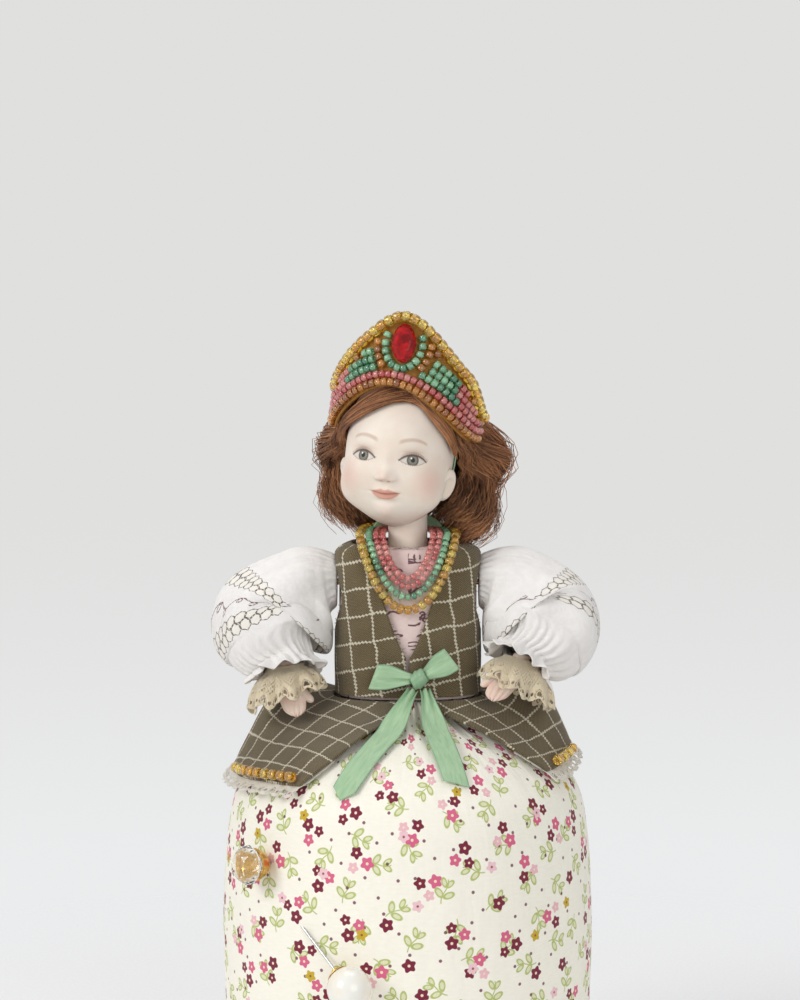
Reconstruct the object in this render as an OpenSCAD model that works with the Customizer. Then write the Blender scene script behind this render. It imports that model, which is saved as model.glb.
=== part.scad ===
// Pincushion doll: a bisque head and hands on a stuffed cloth body that rises from a round
// stuffed skirt, dressed in a beaded headdress, checked vest, puffed sleeves and ribbon bow.
// Millimetres. +Z is up, the doll faces -Y, and left and right are the doll's own.
// The origin is the middle of the flat base.

/* [Skirt cushion] */
// Largest diameter of the stuffed skirt
cushion_d = 104; // [98:1:110]
// Height of the stuffed skirt from the table to the waist
cushion_h = 127; // [121:1:135]
// Diameter of the flat base
base_d = 80; // [72:1:86]
// Thickness of the printed cotton cover
cover_t = 0.8; // [0.5:0.1:1.2]
// Number of gathers drawn into the waist
gathers = 12; // [8:1:12]
// Depth of a gather at the waist
gather_depth = 1.2; // [0.4:0.1:1.5]
// Thickness of the felt under the base
felt_t = 1.2; // [0.8:0.1:2]
// Thickness of the card disc in the base
card_t = 2; // [1:0.5:4]

/* [Body] */
// Diameter of the wooden spine
dowel_d = 6; // [4:0.5:7]
// Width of the stuffed torso
torso_w = 37; // [34:0.5:38]
// Depth of the stuffed torso, front to back
torso_d = 25; // [23:0.5:27]
// Height of the torso from the waist to the neck
torso_h = 41; // [39:0.5:44]
// Height of the shoulder wires above the waist
shoulder_rise = 32; // [30:0.5:33]
// Thickness of the blouse cotton
blouse_t = 0.6; // [0.4:0.1:0.8]
// Thickness of the vest twill
vest_t = 0.8; // [0.6:0.1:1.2]
// Height on the torso where the vest's neckline starts, as a share of the torso
neckline_start = 0.3; // [0.2:0.01:0.4]
// Half width of the vest's neckline at the shoulder
neckline_half_w = 10.5; // [8:0.5:11]

/* [Peplum] */
// Thickness of the peplum twill
peplum_t = 0.8; // [0.5:0.1:1]
// Reach of the right half's side corner from the spine
peplum_reach = 49; // [45:0.5:51]
// Reach of the left half's side corner from the spine
peplum_reach_left = 46; // [44:0.5:50]
// Reach of the peplum at the back
peplum_back_reach = 43; // [40:0.5:46]
// Height of the peplum's hem above the skirt
peplum_lift = 3.2; // [3:0.1:4.5]
// Height of the left half's side corner above the skirt
peplum_lift_left = 7.5; // [3:0.1:8.5]
// Rise of the fold at each side of the peplum
peplum_fold = 11; // [4:0.5:12]
// Thickness of the lace edging
lace_t = 0.5; // [0.3:0.1:0.6]
// How far the lace shows past the peplum's hem
lace_show = 3; // [2:0.5:4]
// Diameter of a hem bead
hem_bead_d = 3; // [2.5:0.1:3.2]
// Hem beads on the right half
hem_beads_right = 9; // [5:1:10]
// Hem beads on the left half
hem_beads_left = 4; // [3:1:6]

/* [Head] */
// Width of the head at the temples
head_w = 30; // [29:0.5:31]
// Depth of the head, brow to back
head_d = 35; // [34:0.5:36]
// Height of the head, chin to crown
head_h = 43; // [42:0.5:44]
// Diameter of the neck
neck_d = 11.2; // [10:0.1:12]
// Height of the head's middle above the torso
head_rise = 28; // [27.5:0.5:30]
// Turn of the head to its right
head_yaw = 17; // [0:1:25]
// Upward tilt of the head
head_pitch = 5; // [0:1:8]
// Lean of the head to its left
head_roll = 5; // [0:1:8]
// Thickness of the wig under the headdress
wig_t = 2; // [1:0.1:2.2]
// Swell of the wig at the sides
wig_swell = 10.5; // [8:0.5:11]

/* [Headdress] */
// Half width of the headdress band
band_rx = 19.6; // [19.5:0.1:21]
// Reach of the headdress band in front
band_ry = 18.6; // [18.5:0.1:20]
// Thickness of the stiff backing
band_t = 1; // [0.6:0.1:1.2]
// Height of the band at its sides
band_side_h = 16; // [15.6:0.1:16.4]
// Height of the peak above the sides
band_peak_h = 4.9; // [4.7:0.1:5.3]
// Diameter of a seed bead
seed_d = 2; // [1.6:0.1:2.1]
// Diameter of a rim bead
rim_d = 2.8; // [2.2:0.1:3]
// Length of the red stone
stone_l = 11; // [9:0.5:11.5]
// Width of the red stone
stone_w = 7; // [5:0.5:7.2]
// Height of the red stone
stone_h = 3.2; // [2:0.1:4]
// Width of the tie ribbons
tie_w = 3.5; // [2:0.5:4]
// Thickness of the ribbons
ribbon_t = 0.4; // [0.3:0.1:0.5]

/* [Necklaces] */
// Diameter of a coral bead
coral_d = 1.7; // [1.4:0.1:1.8]
// Diameter of a mint bead
mint_d = 1.9; // [1.6:0.1:2]
// Diameter of an amber bead
amber_d = 2.4; // [2:0.1:2.6]
// Drop of the inner coral strand
coral_drop = 11.3; // [10:0.1:11.6]
// Drop of the second coral strand
second_drop = 13.6; // [13.4:0.1:14]
// Drop of the mint strand
mint_drop = 16.5; // [16:0.1:17]
// Drop of the amber strand
amber_drop = 20.1; // [19.6:0.1:21]
// Thickness of the threads
thread_d = 0.3; // [0.2:0.02:0.34]

/* [Arms] */
// Diameter of the shoulder wires
wire_d = 1.6; // [1:0.1:2]
// Reach of an elbow outside the vest
elbow_reach = 16.2; // [15:0.2:18]
// Drop of an elbow below the shoulder wires
elbow_drop = 10.5; // [9:0.1:11.5]
// Reach of the right wrist outside the vest
wrist_reach = 13; // [12:0.2:14]
// Reach of the left wrist outside the vest
wrist_reach_left = 10.6; // [10:0.2:12]
// Drop of the right wrist below the shoulder wires
wrist_drop = 21; // [20:0.1:22]
// Drop of the left wrist below the shoulder wires
wrist_drop_left = 19; // [18:0.1:19.5]
// Length of a hand from the wrist to the fingertips
hand_l = 16.7; // [15:0.1:18]
// Radius of a sleeve at the shoulder
shoulder_r = 8; // [7:0.5:9.5]
// Radius of a sleeve at its fullest
puff_r = 16.5; // [15:0.5:17]
// Thickness of the sleeve cotton
sleeve_t = 0.6; // [0.4:0.1:0.8]
// Radius of a gathered wrist
wrist_r = 6.2; // [5.6:0.1:7]
// Radius of a lace cuff at its edge
cuff_r = 12; // [10.5:0.5:12.5]
// Length of a lace cuff
cuff_l = 9.5; // [7:0.5:10]
// Reach of the shoulder wires outside the vest
wire_reach = 8; // [6:0.5:10]
// Distance of the shoulder wires' inner ends from the middle
wire_in = 4; // [4:0.5:6]

/* [Waist bow] */
// Width of the satin ribbon
ribbon_w = 7; // [5:0.5:7.5]
// Radius of the knot
knot_r = 2.1; // [1.8:0.1:2.4]
// Height of the knot above the waist
bow_rise = 7; // [6:0.5:8]
// Sideways place of the knot
bow_x = 3; // [0:0.5:4]

/* [Pins] */
// Diameter of the pin shafts
pin_d = 0.8; // [0.6:0.05:1]
// Diameter of the pearl
pearl_d = 12; // [8:0.5:12.5]
// Length of the pearl pin's shaft
pearl_pin_l = 42; // [38:1:46]
// Length of the pearl pin that stays outside the skirt
pearl_pin_out = 20; // [16:1:24]
// Height where the pearl pin enters the skirt
pearl_pin_z = 69; // [58:1:72]
// Diameter of the crystal
crystal_d = 11; // [8:0.5:12]
// Length of the crystal pin's shaft
crystal_pin_l = 38; // [34:1:42]
// Height where the crystal pin enters the skirt
crystal_pin_z = 86; // [76:1:90]
// Diameter of the gilt cup behind the crystal
cup_d = 9; // [7:0.5:10]

/* [Clearances] */
// Radial clearance of a turning or sliding fit
running = 0.05; // [0.02:0.01:0.1]
// Gap between pieces of the same body
rest_gap = 0.2; // [0.1:0.05:0.3]
// Gap between pieces that move past each other
move_gap = 0.4; // [0.3:0.05:0.5]

/* [Hidden] */
$fn = 48;
waist_z = cushion_h;
torso_z = waist_z + rest_gap + 0.1;
neck_z = torso_z + torso_h;
shoulder_z = waist_z + shoulder_rise;
blouse_in = rest_gap;
blouse_out = blouse_in + blouse_t;
vest_in = blouse_out + rest_gap + 0.35;
vest_out = vest_in + vest_t;
neck_x = 0;
neck_y = 1;
head_c = [neck_x - 2, neck_y - 2, neck_z + head_rise];
dowel_top = neck_z + 14;
band_y = 3;
band_z = 17.4;
band_drop = 13.2;
band_taper = 4;
band_fall = 7.5;
stone_az = 6;
band_arch = 85;
bow_c = [bow_x, -(torso_d / 2 + vest_out + knot_r + rest_gap), waist_z + bow_rise];
arm_x = torso_w / 2 + vest_out + move_gap + 0.3;
cushion_r = cushion_d / 2;

// Plain arithmetic
function lerp(a, b, t) = a + (b - a) * t;
function clamp(v) = max(0, min(1, v));
function smooth(v) = let (t = clamp(v)) t * t * (3 - 2 * t);
function bell(v) = exp(-v * v);
function spow(v, e) = sign(v) * pow(abs(v), e);
function unit(v) = v / norm(v);
function total(list) = [for (v = list) 1] * list;
function mirror_x(p) = [-p.x, p.y, p.z];

// A smooth curve through a list of points, u counting the points
function at(p, i) = p[max(0, min(len(p) - 1, i))];
function curve(p, u) =
    let (i = max(0, min(floor(u), len(p) - 2)), t = u - i)
    let (a = at(p, i - 1), b = at(p, i), c = at(p, i + 1), d = at(p, i + 2))
    0.5 * (2 * b + (c - a) * t + (2 * a - 5 * b + 4 * c - d) * t * t + (3 * b - a - 3 * c + d) * t * t * t);

// A solid from points and triangles, turned the right way out
module skin(points, faces) {
    vol = total([for (f = faces) points[f[0]] * cross(points[f[1]], points[f[2]])]);
    polyhedron(points, vol < 0 ? faces : [for (f = faces) [f[0], f[2], f[1]]]);
}

function quad(a, b, c, d) = [[a, b, c], [a, c, d]];

// A cloth-like solid between two equal grids of points
module between(top, under) {
    m = len(top);
    n = len(top[0]);
    k = m * n;
    pts = concat([for (r = top) each r], [for (r = under) each r]);
    face = [for (i = [0:m - 2], j = [0:n - 2])
        each quad(i * n + j, i * n + j + 1, i * n + n + j + 1, i * n + n + j)];
    back = [for (f = face) [f[0] + k, f[2] + k, f[1] + k]];
    ends = [for (j = [0:n - 2], e = [0, 1]) let (a = e * (m - 1) * n + j)
        each e == 0 ? quad(a + 1, a, a + k, a + k + 1) : quad(a, a + 1, a + k + 1, a + k)];
    sides = [for (i = [0:m - 2], e = [0, 1]) let (a = i * n + e * (n - 1))
        each e == 0 ? quad(a, a + n, a + n + k, a + k) : quad(a + n, a, a + k, a + n + k)];
    skin(pts, concat(face, back, ends, sides));
}

// A solid through closed rings of points, closed at both ends
module loft(rings) {
    m = len(rings);
    n = len(rings[0]);
    pts = concat([for (r = rings) each r], [total(rings[0]) / n, total(rings[m - 1]) / n]);
    wall = [for (i = [0:m - 2], j = [0:n - 1])
        each quad(i * n + j, i * n + (j + 1) % n, i * n + n + (j + 1) % n, i * n + n + j)];
    low = [for (j = [0:n - 1]) [(j + 1) % n, j, m * n]];
    high = [for (j = [0:n - 1]) [(m - 1) * n + j, (m - 1) * n + (j + 1) % n, m * n + 1]];
    skin(pts, concat(wall, low, high));
}

// An open tube of cloth between outer and inner rings
module tube(outer, inner) {
    m = len(outer);
    n = len(outer[0]);
    k = m * n;
    pts = concat([for (r = outer) each r], [for (r = inner) each r]);
    wall = [for (i = [0:m - 2], j = [0:n - 1])
        each quad(i * n + j, i * n + (j + 1) % n, i * n + n + (j + 1) % n, i * n + n + j)];
    back = [for (f = wall) [f[0] + k, f[2] + k, f[1] + k]];
    rims = [for (j = [0:n - 1], e = [0, 1])
        let (a = e * (m - 1) * n + j, b = e * (m - 1) * n + (j + 1) % n)
        each e == 0 ? quad(b, a, a + k, b + k) : quad(a, b, b + k, a + k)];
    skin(pts, concat(wall, back, rims));
}

// Turns a child that stands on Z to lie along a direction
module along(p, d) {
    translate(p)
        rotate([0, acos(d.z / norm(d)), atan2(d.y, d.x)])
            children();
}

// A glass bead on its hole's axis
module bead(d, l, bore) {
    rotate_extrude($fn = 24)
        polygon([[bore / 2, -l / 2], [d * 0.33, -l / 2], [d / 2, -l * 0.18], [d / 2, l * 0.18],
            [d * 0.33, l / 2], [bore / 2, l / 2]]);
}

// Skirt outline as radius and height, from the base edge up to the waist
function outline(u) = curve([[base_d / 2, 0.4], [cushion_r * 0.89, cushion_h * 0.04],
    [cushion_r * 0.965, cushion_h * 0.155], [cushion_r, cushion_h * 0.40], [cushion_r, cushion_h * 0.55],
    [cushion_r * 0.975, cushion_h * 0.70], [cushion_r * 0.915, cushion_h * 0.805],
    [cushion_r * 0.77, cushion_h * 0.873], [cushion_r * 0.585, cushion_h * 0.925],
    [cushion_r * 0.385, cushion_h * 0.966], [cushion_r * 0.28, cushion_h]], u);
function outline_in(u, d) =
    let (p = outline(u), q = outline(min(10, u + 0.05)) - outline(max(0, u - 0.05)))
    p - d * [q.y, -q.x] / norm(q);
function dome_z(r) = lookup(r, [for (i = [40:-1:0]) let (p = outline(6 + i * 0.1)) [p.x, p.y]]);
function side_r(z) = lookup(z, [for (i = [0:1:40]) let (p = outline(i * 0.2)) [p.y, p.x]]);
function ring_at(r, z, n) = [for (j = [0:n - 1]) [r * sin(j * 360 / n), -r * cos(j * 360 / n), z]];
function gather(az, u) =
    gather_depth * (0.5 - 0.5 * cos(gathers * az + 25 * sin(3 * az))) * smooth((u - 7) / 2.6);
function cover_ring(u, d) = [for (j = [0:47]) let (az = j * 7.5, p = outline_in(u, d + gather(az, u)))
    [p.x * sin(az), -p.x * cos(az), p.y]];

// Heights where the cover is drawn
cover_stations = [0, 0.9, 1.9, 3, 4, 5, 6, 6.6, 7.2, 7.8, 8.5, 9.2, 10];

// Pins: where each enters the skirt and the way its head points
pearl_az = -31.5;
pearl_dir = unit([0.545, -0.615, -0.568]);
pearl_in = let (r = side_r(pearl_pin_z)) [r * sin(pearl_az), -r * cos(pearl_az), pearl_pin_z];
crystal_az = -48;
crystal_dir = unit([-0.83, -0.55, 0.05]);
crystal_in = let (r = side_r(crystal_pin_z)) [r * sin(crystal_az), -r * cos(crystal_az), crystal_pin_z];
crystal_out = 1.2;
pearl_tip = pearl_in - (pearl_pin_l - pearl_pin_out) * pearl_dir;
crystal_tip = crystal_in - (crystal_pin_l - crystal_out) * crystal_dir;

module pin_holes() {
    along(pearl_tip - pearl_dir, pearl_dir)
        cylinder(h = pearl_pin_l + 1, d = pin_d + 2 * running, $fn = 32);
    along(crystal_tip - crystal_dir, crystal_dir)
        cylinder(h = crystal_pin_l + 1, d = pin_d + 2 * running, $fn = 32);
}

module base_felt() {
    color("#8a7460")
        cylinder(h = felt_t, r = base_d / 2 - cover_t - rest_gap);
}

module base_card() {
    color("#b59a73")
        difference() {
            translate([0, 0, felt_t])
                cylinder(h = card_t, r = base_d / 2 - cover_t - rest_gap);
            translate([neck_x, neck_y, felt_t - 1])
                cylinder(h = card_t + 2, d = dowel_d + 2 * running);
        }
}

module stuffing() {
    bottom = felt_t + card_t + rest_gap;
    wall = [for (u = cover_stations) if (u > 0)
        let (p = outline_in(u, cover_t + 0.35 + gather_depth * smooth((u - 7) / 2.6))) [p.x, p.y]];
    color("#ece4d4")
        difference() {
            rotate_extrude()
                polygon(concat([[0, bottom], [base_d / 2 - cover_t - 0.3, bottom]], wall,
                    [[0, wall[len(wall) - 1].y]]));
            translate([neck_x, neck_y, 0])
                cylinder(h = cushion_h + 5, d = dowel_d + 2 * running);
            pin_holes();
        }
}

module skirt_cover() {
    color("#efe6d2")
        difference() {
            tube([for (u = cover_stations) cover_ring(u, 0)],
                [for (u = cover_stations) cover_ring(u, cover_t)]);
            pin_holes();
        }
}

module spine_dowel() {
    color("#c79a63")
        translate([neck_x, neck_y, felt_t + 0.05])
            cylinder(h = dowel_top - felt_t, d = dowel_d);
}

// Torso: a rounded pillow shape, d outside the stuffed cloth, t from waist to neck
function half_w(t) = torso_w / 2 * sqrt(1 - 0.42 * pow(clamp((t - 0.92) / 0.08), 2));
function half_d(t) = torso_d / 2 * sqrt(1 - 0.5 * pow(clamp((t - 0.65) / 0.35), 2));
function body(t, d, az) = [(half_w(t) + d) * spow(sin(az), 0.77), -(half_d(t) + d) * spow(cos(az), 0.77),
    torso_z + torso_h * t + d * smooth((t - 0.7) / 0.3)];
function body_ring(t, d, n) = [for (j = [0:n - 1]) body(t, d, j * 360 / n)];

body_rows = [0, 0.35, 0.66, 0.74, 0.8, 0.86, 0.92, 0.95, 0.98, 1];

module torso() {
    color("#e9ddc8")
        difference() {
            loft([for (t = body_rows) body_ring(t, 0, 24)]);
            translate([neck_x, neck_y, torso_z - 1])
                cylinder(h = torso_h + 2, d = dowel_d + 2 * running);
            translate([neck_x, neck_y, neck_z - 5])
                cylinder(h = 10, d = neck_d + 2 * move_gap);
            translate([-torso_w, 0, shoulder_z])
                rotate([0, 90, 0])
                    cylinder(h = 2 * torso_w, d = wire_d + 2 * running);
        }
}

module blouse() {
    yoke = ring_at(neck_d / 2 + move_gap + 0.3, neck_z + blouse_out + 0.2, 24);
    over = [for (p = yoke) p + [neck_x, neck_y, 0]];
    under = [for (p = over) p - [0, 0, blouse_t]];
    color("#f3ebe4")
        difference() {
            tube(concat([for (t = body_rows) body_ring(t, blouse_out, 24)], [over]),
                concat([for (t = body_rows) body_ring(t, blouse_in, 24)], [under]));
            translate([-torso_w, 0, shoulder_z])
                rotate([0, 90, 0])
                    cylinder(h = 2 * torso_w, d = wire_d + 2 * move_gap);
        }
}

// Folded white flap of the blouse's neck slit
module collar_tab() {
    rows = [0.86, 0.8, 0.74, 0.68];
    color("#f7f4ef")
        between([for (t = rows) [for (az = [-9, -6.5, -4]) body(t, blouse_out + rest_gap + 0.6, az)]],
            [for (t = rows) [for (az = [-9, -6.5, -4]) body(t, blouse_out + rest_gap, az)]]);
}

// Vest: the front edges part into a neckline, and each armhole is cut round the sleeve
vest_rows = [0.03, 0.13, 0.24, 0.35, 0.43, 0.51, 0.58, 0.66, 0.74, 0.8, 0.86, 0.92, 0.95, 0.98, 1];
function front_edge(t) =
    let (x = 0.5 + neckline_half_w * pow(clamp((t - neckline_start) / (1 - neckline_start)), 0.8))
    asin(min(0.97, pow(x / (half_w(t) + vest_out), 1.3)));
function armhole(t) = 89.4 - 30 * sin(180 * clamp((t - 0.42) / 0.52));
function front_grid(d) = [for (t = vest_rows) [for (j = [0:6])
    body(t, d, lerp(front_edge(t), armhole(t), j / 6))]];
function back_grid(d) = [for (t = vest_rows) [for (j = [0:12])
    body(t, d, lerp(180 - armhole(t), 180 + armhole(t), j / 12))]];

module vest_left() {
    color("#6f6146")
        between(front_grid(vest_out), front_grid(vest_in));
}

module vest_right() {
    color("#6f6146")
        mirror([1, 0, 0])
            between(front_grid(vest_out), front_grid(vest_in));
}

module vest_back() {
    color("#6f6146")
        between(back_grid(vest_out), back_grid(vest_in));
}

// Peplum: from the waist seam out over the skirt, s from seam to hem
function seam_r(az) = 1 / pow(pow(abs(sin(az)) / (torso_w / 2 + vest_out), 2.6)
    + pow(abs(cos(az)) / (torso_d / 2 + vest_out), 2.6), 1 / 2.6);
function hem_r(half, az) = az < 85 ? lerp(half[2] - 2, half[2], smooth((az - 38) / 40))
    : lerp(half[2], peplum_back_reach, smooth((az - 85) / 60));
function hem_lift(half, az) = peplum_lift + (half[3] - peplum_lift) * bell((az - 90) / 21);
function rest_z(r) = dome_z(min(r, cushion_r * 0.85)) - 0.7 * max(0, r - cushion_r * 0.85);
function peplum_z(half, az, s) =
    let (r = lerp(seam_r(az), hem_r(half, az), s), start = waist_z + 0.4 - rest_z(seam_r(az)))
    rest_z(r) + lerp(start, hem_lift(half, az), smooth(s * 1.5))
    + peplum_fold * bell((az - 106) / 25) * sin(180 * pow(clamp(s), 1.35))
    + 0.9 * (0.5 - 0.5 * cos(az * 9)) * smooth(s) * smooth((az - 60) / 60);
function peplum_point(half, az, s, d) = let (r = lerp(seam_r(az), hem_r(half, az), s))
    [r * sin(az), -r * cos(az), peplum_z(half, az, s) + d];
function peplum_az(half, s, j) = lerp(lerp(half[0], half[1], clamp(s)), 179.2, j);
// Each half: angles of its front edge at the seam and at the hem, reach and lift of its side corner
half_left = [24, 58, peplum_reach_left, peplum_lift_left];
half_right = [8, 39, peplum_reach, peplum_lift];
peplum_rows = [0.02, 0.16, 0.32, 0.48, 0.64, 0.82, 1];
function peplum_grid(half, d) = [for (s = peplum_rows) [for (j = [0:20])
    peplum_point(half, peplum_az(half, s, j / 20), s, d)]];

module peplum_left() {
    color("#6f6146")
        between(peplum_grid(half_left, peplum_t / 2), peplum_grid(half_left, -peplum_t / 2));
}

module peplum_right() {
    color("#6f6146")
        mirror([1, 0, 0])
            between(peplum_grid(half_right, peplum_t / 2), peplum_grid(half_right, -peplum_t / 2));
}

lace_drop = peplum_t / 2 + rest_gap + lace_t / 2 + 0.1;
function lace_end(half, az) = 1 + lace_show / (hem_r(half, az) - seam_r(az));
function lace_grid(half, d) = [for (q = [0.64, 0.82, 1, 2]) [for (j = [0:20])
    let (az = peplum_az(half, q, j / 20), s = q > 1 ? lace_end(half, az) : q)
    peplum_point(half, az, s, d - lace_drop)]];

module peplum_lace_left() {
    color("#f2eee6")
        between(lace_grid(half_left, lace_t / 2), lace_grid(half_left, -lace_t / 2));
}

module peplum_lace_right() {
    color("#f2eee6")
        mirror([1, 0, 0])
            between(lace_grid(half_right, lace_t / 2), lace_grid(half_right, -lace_t / 2));
}

// Amber beads sewn along the hem's corners
function hem_point(half, az) =
    let (p = peplum_point(half, az, 0.985, 0))
    let (a = peplum_point(half, az + 1, 0.985, 0) - p, b = peplum_point(half, az, 0.95, 0) - p)
    p + unit(cross(a, b)) * (peplum_t / 2 + hem_bead_d / 2 + rest_gap);

module hem_beads() {
    step = (hem_bead_d + 0.3) / peplum_reach * 57.3;
    color("#c98a2b") {
        for (i = [0:hem_beads_right - 1])
            let (az = 42 + i * step, p = hem_point(half_right, az), q = hem_point(half_right, az + 1))
            along(mirror_x(p), mirror_x(q - p))
                bead(hem_bead_d, hem_bead_d * 0.8, 0.8);
        for (i = [0:hem_beads_left - 1])
            let (az = 64 + i * step * 1.07, p = hem_point(half_left, az), q = hem_point(half_left, az + 1))
            along(p, q - p)
                bead(hem_bead_d, hem_bead_d * 0.8, 0.8);
    }
}

// Waist bow
module bow_knot() {
    color("#9fc6b4")
        translate(bow_c)
            rotate_extrude()
                polygon([[0, -2.6], [knot_r * 0.7, -2.6], [knot_r, -1], [knot_r, 1], [knot_r * 0.7, 2.6],
                    [0, 2.6]]);
}

// One loop: out from the knot, round its tip and back
function loop_grid(out, up, l, w, d) = [for (i = [0:14])
    let (u = i / 14, a = knot_r + 0.6 + l * sin(180 * u))
    let (b = -cos(180 * u) * (0.35 + d + 0.9 * sin(180 * u)), half = w / 2 * lerp(0.45, 1, smooth(a / l)))
    let (reach = a + d * sin(180 * u))
    [for (v = [-1, -0.33, 0.33, 1]) bow_c + out * reach + [0, b, 0] + up * v * half]];

module bow_loop(out, l) {
    up = [-out.z, 0, out.x];
    color("#9fc6b4")
        between(loop_grid(out, up, l, ribbon_w, ribbon_t), loop_grid(out, up, l, ribbon_w, 0));
}

module bow_loop_left() {
    bow_loop(unit([0.85, 0, 0.53]), 8.5);
}

module bow_loop_right() {
    bow_loop(unit([-1, 0, 0.05]), 10.5);
}

// Tails run down over the front of the skirt
function tail_point(q, x_end, r_end) =
    let (r = lerp(-bow_c.y + 0.2, r_end, q), x = lerp(bow_c.x + sign(x_end) * 2.1, x_end, q))
    [x, -sqrt(r * r - x * x), dome_z(r) + lerp(bow_c.z - 3.4 - dome_z(-bow_c.y), 1.7, smooth(q * 2.4))];
function tail_grid(x_end, r_end, d) = [for (i = [0:9])
    let (q = i / 9, p = tail_point(q, x_end, r_end), t = tail_point(q + 0.02, x_end, r_end) - p)
    let (side = unit(cross(t, [p.x, p.y, -p.y])), up = unit(cross(side, t)))
    [for (v = [-1, -0.33, 0.33, 1]) p + side * v * ribbon_w / 2 * lerp(0.5, 1, smooth(q * 3)) + up * d]];

module bow_tail_left() {
    color("#9fc6b4")
        between(tail_grid(13, cushion_r * 0.83, ribbon_t), tail_grid(13, cushion_r * 0.83, 0));
}

module bow_tail_right() {
    color("#9fc6b4")
        between(tail_grid(-17, cushion_r * 0.88, ribbon_t), tail_grid(-17, cushion_r * 0.88, 0));
}

// Necklaces: a loop that hangs down the chest and passes round the back of the neck
function chest_y(x, z, d) =
    let (t = clamp((z - d - torso_z) / torso_h), w = half_w(t) + d, e = half_d(t) + d)
    -e * pow(max(0.02, 1 - pow(min(1, abs(x) / w), 2.6)), 0.385);
function fall(az) = pow(cos(90 * clamp(abs((az + 180) % 360 - 180) / 84)), 1.4);
function strand(a, drop, d, az) =
    let (x = a * sin(az), z = neck_z + 4.9 - drop * fall(az), k = smooth((cos(az) + 0.5) / 0.8))
    [neck_x + x, lerp(neck_y - a * cos(az), chest_y(x, z, vest_out + d / 2 + rest_gap), k), z];
function strand_len(a, drop, d) = let (p = [for (i = [0:361]) strand(a, drop, d, i)])
    [for (i = 0, l = 0; i <= 360; l = l + norm(p[i + 1] - p[i]), i = i + 1) [l, i]];

module bead_string(a, drop, d, l) {
    table = strand_len(a, drop, d);
    whole = table[360][0];
    n = floor(whole / (l + bead_gap));
    for (i = [0:n - 1]) let (az = lookup(i * whole / n, table), p = strand(a, drop, d, az))
        along(p, strand(a, drop, d, az + 1) - strand(a, drop, d, az - 1))
            bead(d, l, 0.58 * d);
}

// Reach from the neck, drop and bead of each strand
bead_gap = 0.4;
coral_a = neck_d / 2 + move_gap + coral_d / 2 + rest_gap;
second_a = coral_a + coral_d + rest_gap;
mint_a = second_a + (coral_d + mint_d) / 2 + rest_gap;
amber_a = mint_a + (mint_d + amber_d) / 2 + move_gap;
strand_list = [[coral_a, coral_drop, coral_d], [second_a, second_drop, coral_d], [mint_a, mint_drop, mint_d],
    [amber_a, amber_drop, amber_d]];

module coral_necklace() {
    color("#e0857c")
        for (i = [0, 1])
            bead_string(strand_list[i][0], strand_list[i][1], coral_d, coral_d * 0.7);
}

module mint_necklace() {
    color("#a9cdb4")
        bead_string(strand_list[2][0], strand_list[2][1], mint_d, mint_d * 0.7);
}

module amber_necklace() {
    color("#b97a2a")
        bead_string(strand_list[3][0], strand_list[3][1], amber_d, amber_d * 0.7);
}

// Thread through each strand, closed by its knot at the nape
module necklace_threads() {
    color("#f2efe8")
        for (s = strand_list) let (table = strand_len(s[0], s[1], s[2]), whole = table[360][0])
            loft([for (i = [0:48])
                let (az = lookup(whole * ((0.505 + i * 0.99 / 48) % 1), table))
                let (p = strand(s[0], s[1], s[2], az))
                let (t = unit(strand(s[0], s[1], s[2], az + 1) - strand(s[0], s[1], s[2], az - 1)))
                let (e = unit(cross(t, [0.3, 0.2, 1])), g = cross(t, e))
                [for (j = [0:3]) p + thread_d / 2 * (e * cos(j * 90) + g * sin(j * 90))]]);
}

// Head: an egg with cheeks, brow, eye hollows, nose, mouth and chin; az and el from its middle
features = [[0, -21, 7, 6, 2.6], [0, -9, 6, 9, 0.8], [38, -28, 20, 15, 1.3], [-38, -28, 20, 15, 1.3],
    [0, -56, 15, 9, 1.2], [25, -6, 11, 7, -0.9], [-25, -6, 11, 7, -0.9], [0, -36, 10, 6, 0.8],
    [22, 13, 16, 8, 0.5], [-22, 13, 16, 8, 0.5], [62, -42, 26, 18, 2.8], [-62, -42, 26, 18, 2.8]];
function ray(az, el) = [sin(az) * cos(el), -cos(az) * cos(el), sin(el)];
function egg_r(az, el) = let (p = ray(az, el))
    1 / norm([p.x / (head_w / 2), p.y / (head_d / 2), p.z / (head_h / 2)]);
function face_r(az, el) = egg_r(az, el) + total([for (f = features)
    f[4] * bell((az - f[0]) / f[2]) * bell((el - f[1]) / f[3])]);

module on_head() {
    translate(head_c)
        rotate([-head_pitch, head_roll, -head_yaw])
            children();
}

module ear(side) {
    translate([side * (head_w / 2 - 0.7), -0.6, -8.3])
        rotate([0, side * 16, side * -24])
            loft([for (i = [0:6]) let (e = -80 + i * 160 / 6)
                [for (j = [0:9]) [2.2 * cos(e) * cos(j * 36), 2.8 * cos(e) * sin(j * 36), 4.7 * sin(e)]]]);
}

module head() {
    color("#f0ddd0")
        difference() {
            union() {
                on_head() {
                    loft([for (i = [0:22]) let (el = -86 + i * 172 / 22)
                        [for (j = [0:35]) let (az = -180 + j * 10) face_r(az, el) * ray(az, el)]]);
                    ear(1);
                    ear(-1);
                }
                translate([neck_x, neck_y, neck_z - 4.6])
                    cylinder(h = head_rise - 4, d = neck_d);
            }
            translate([neck_x, neck_y, neck_z - 6])
                cylinder(h = dowel_top + 0.5 - (neck_z - 6), d = dowel_d + 2 * running);
        }
}

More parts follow.
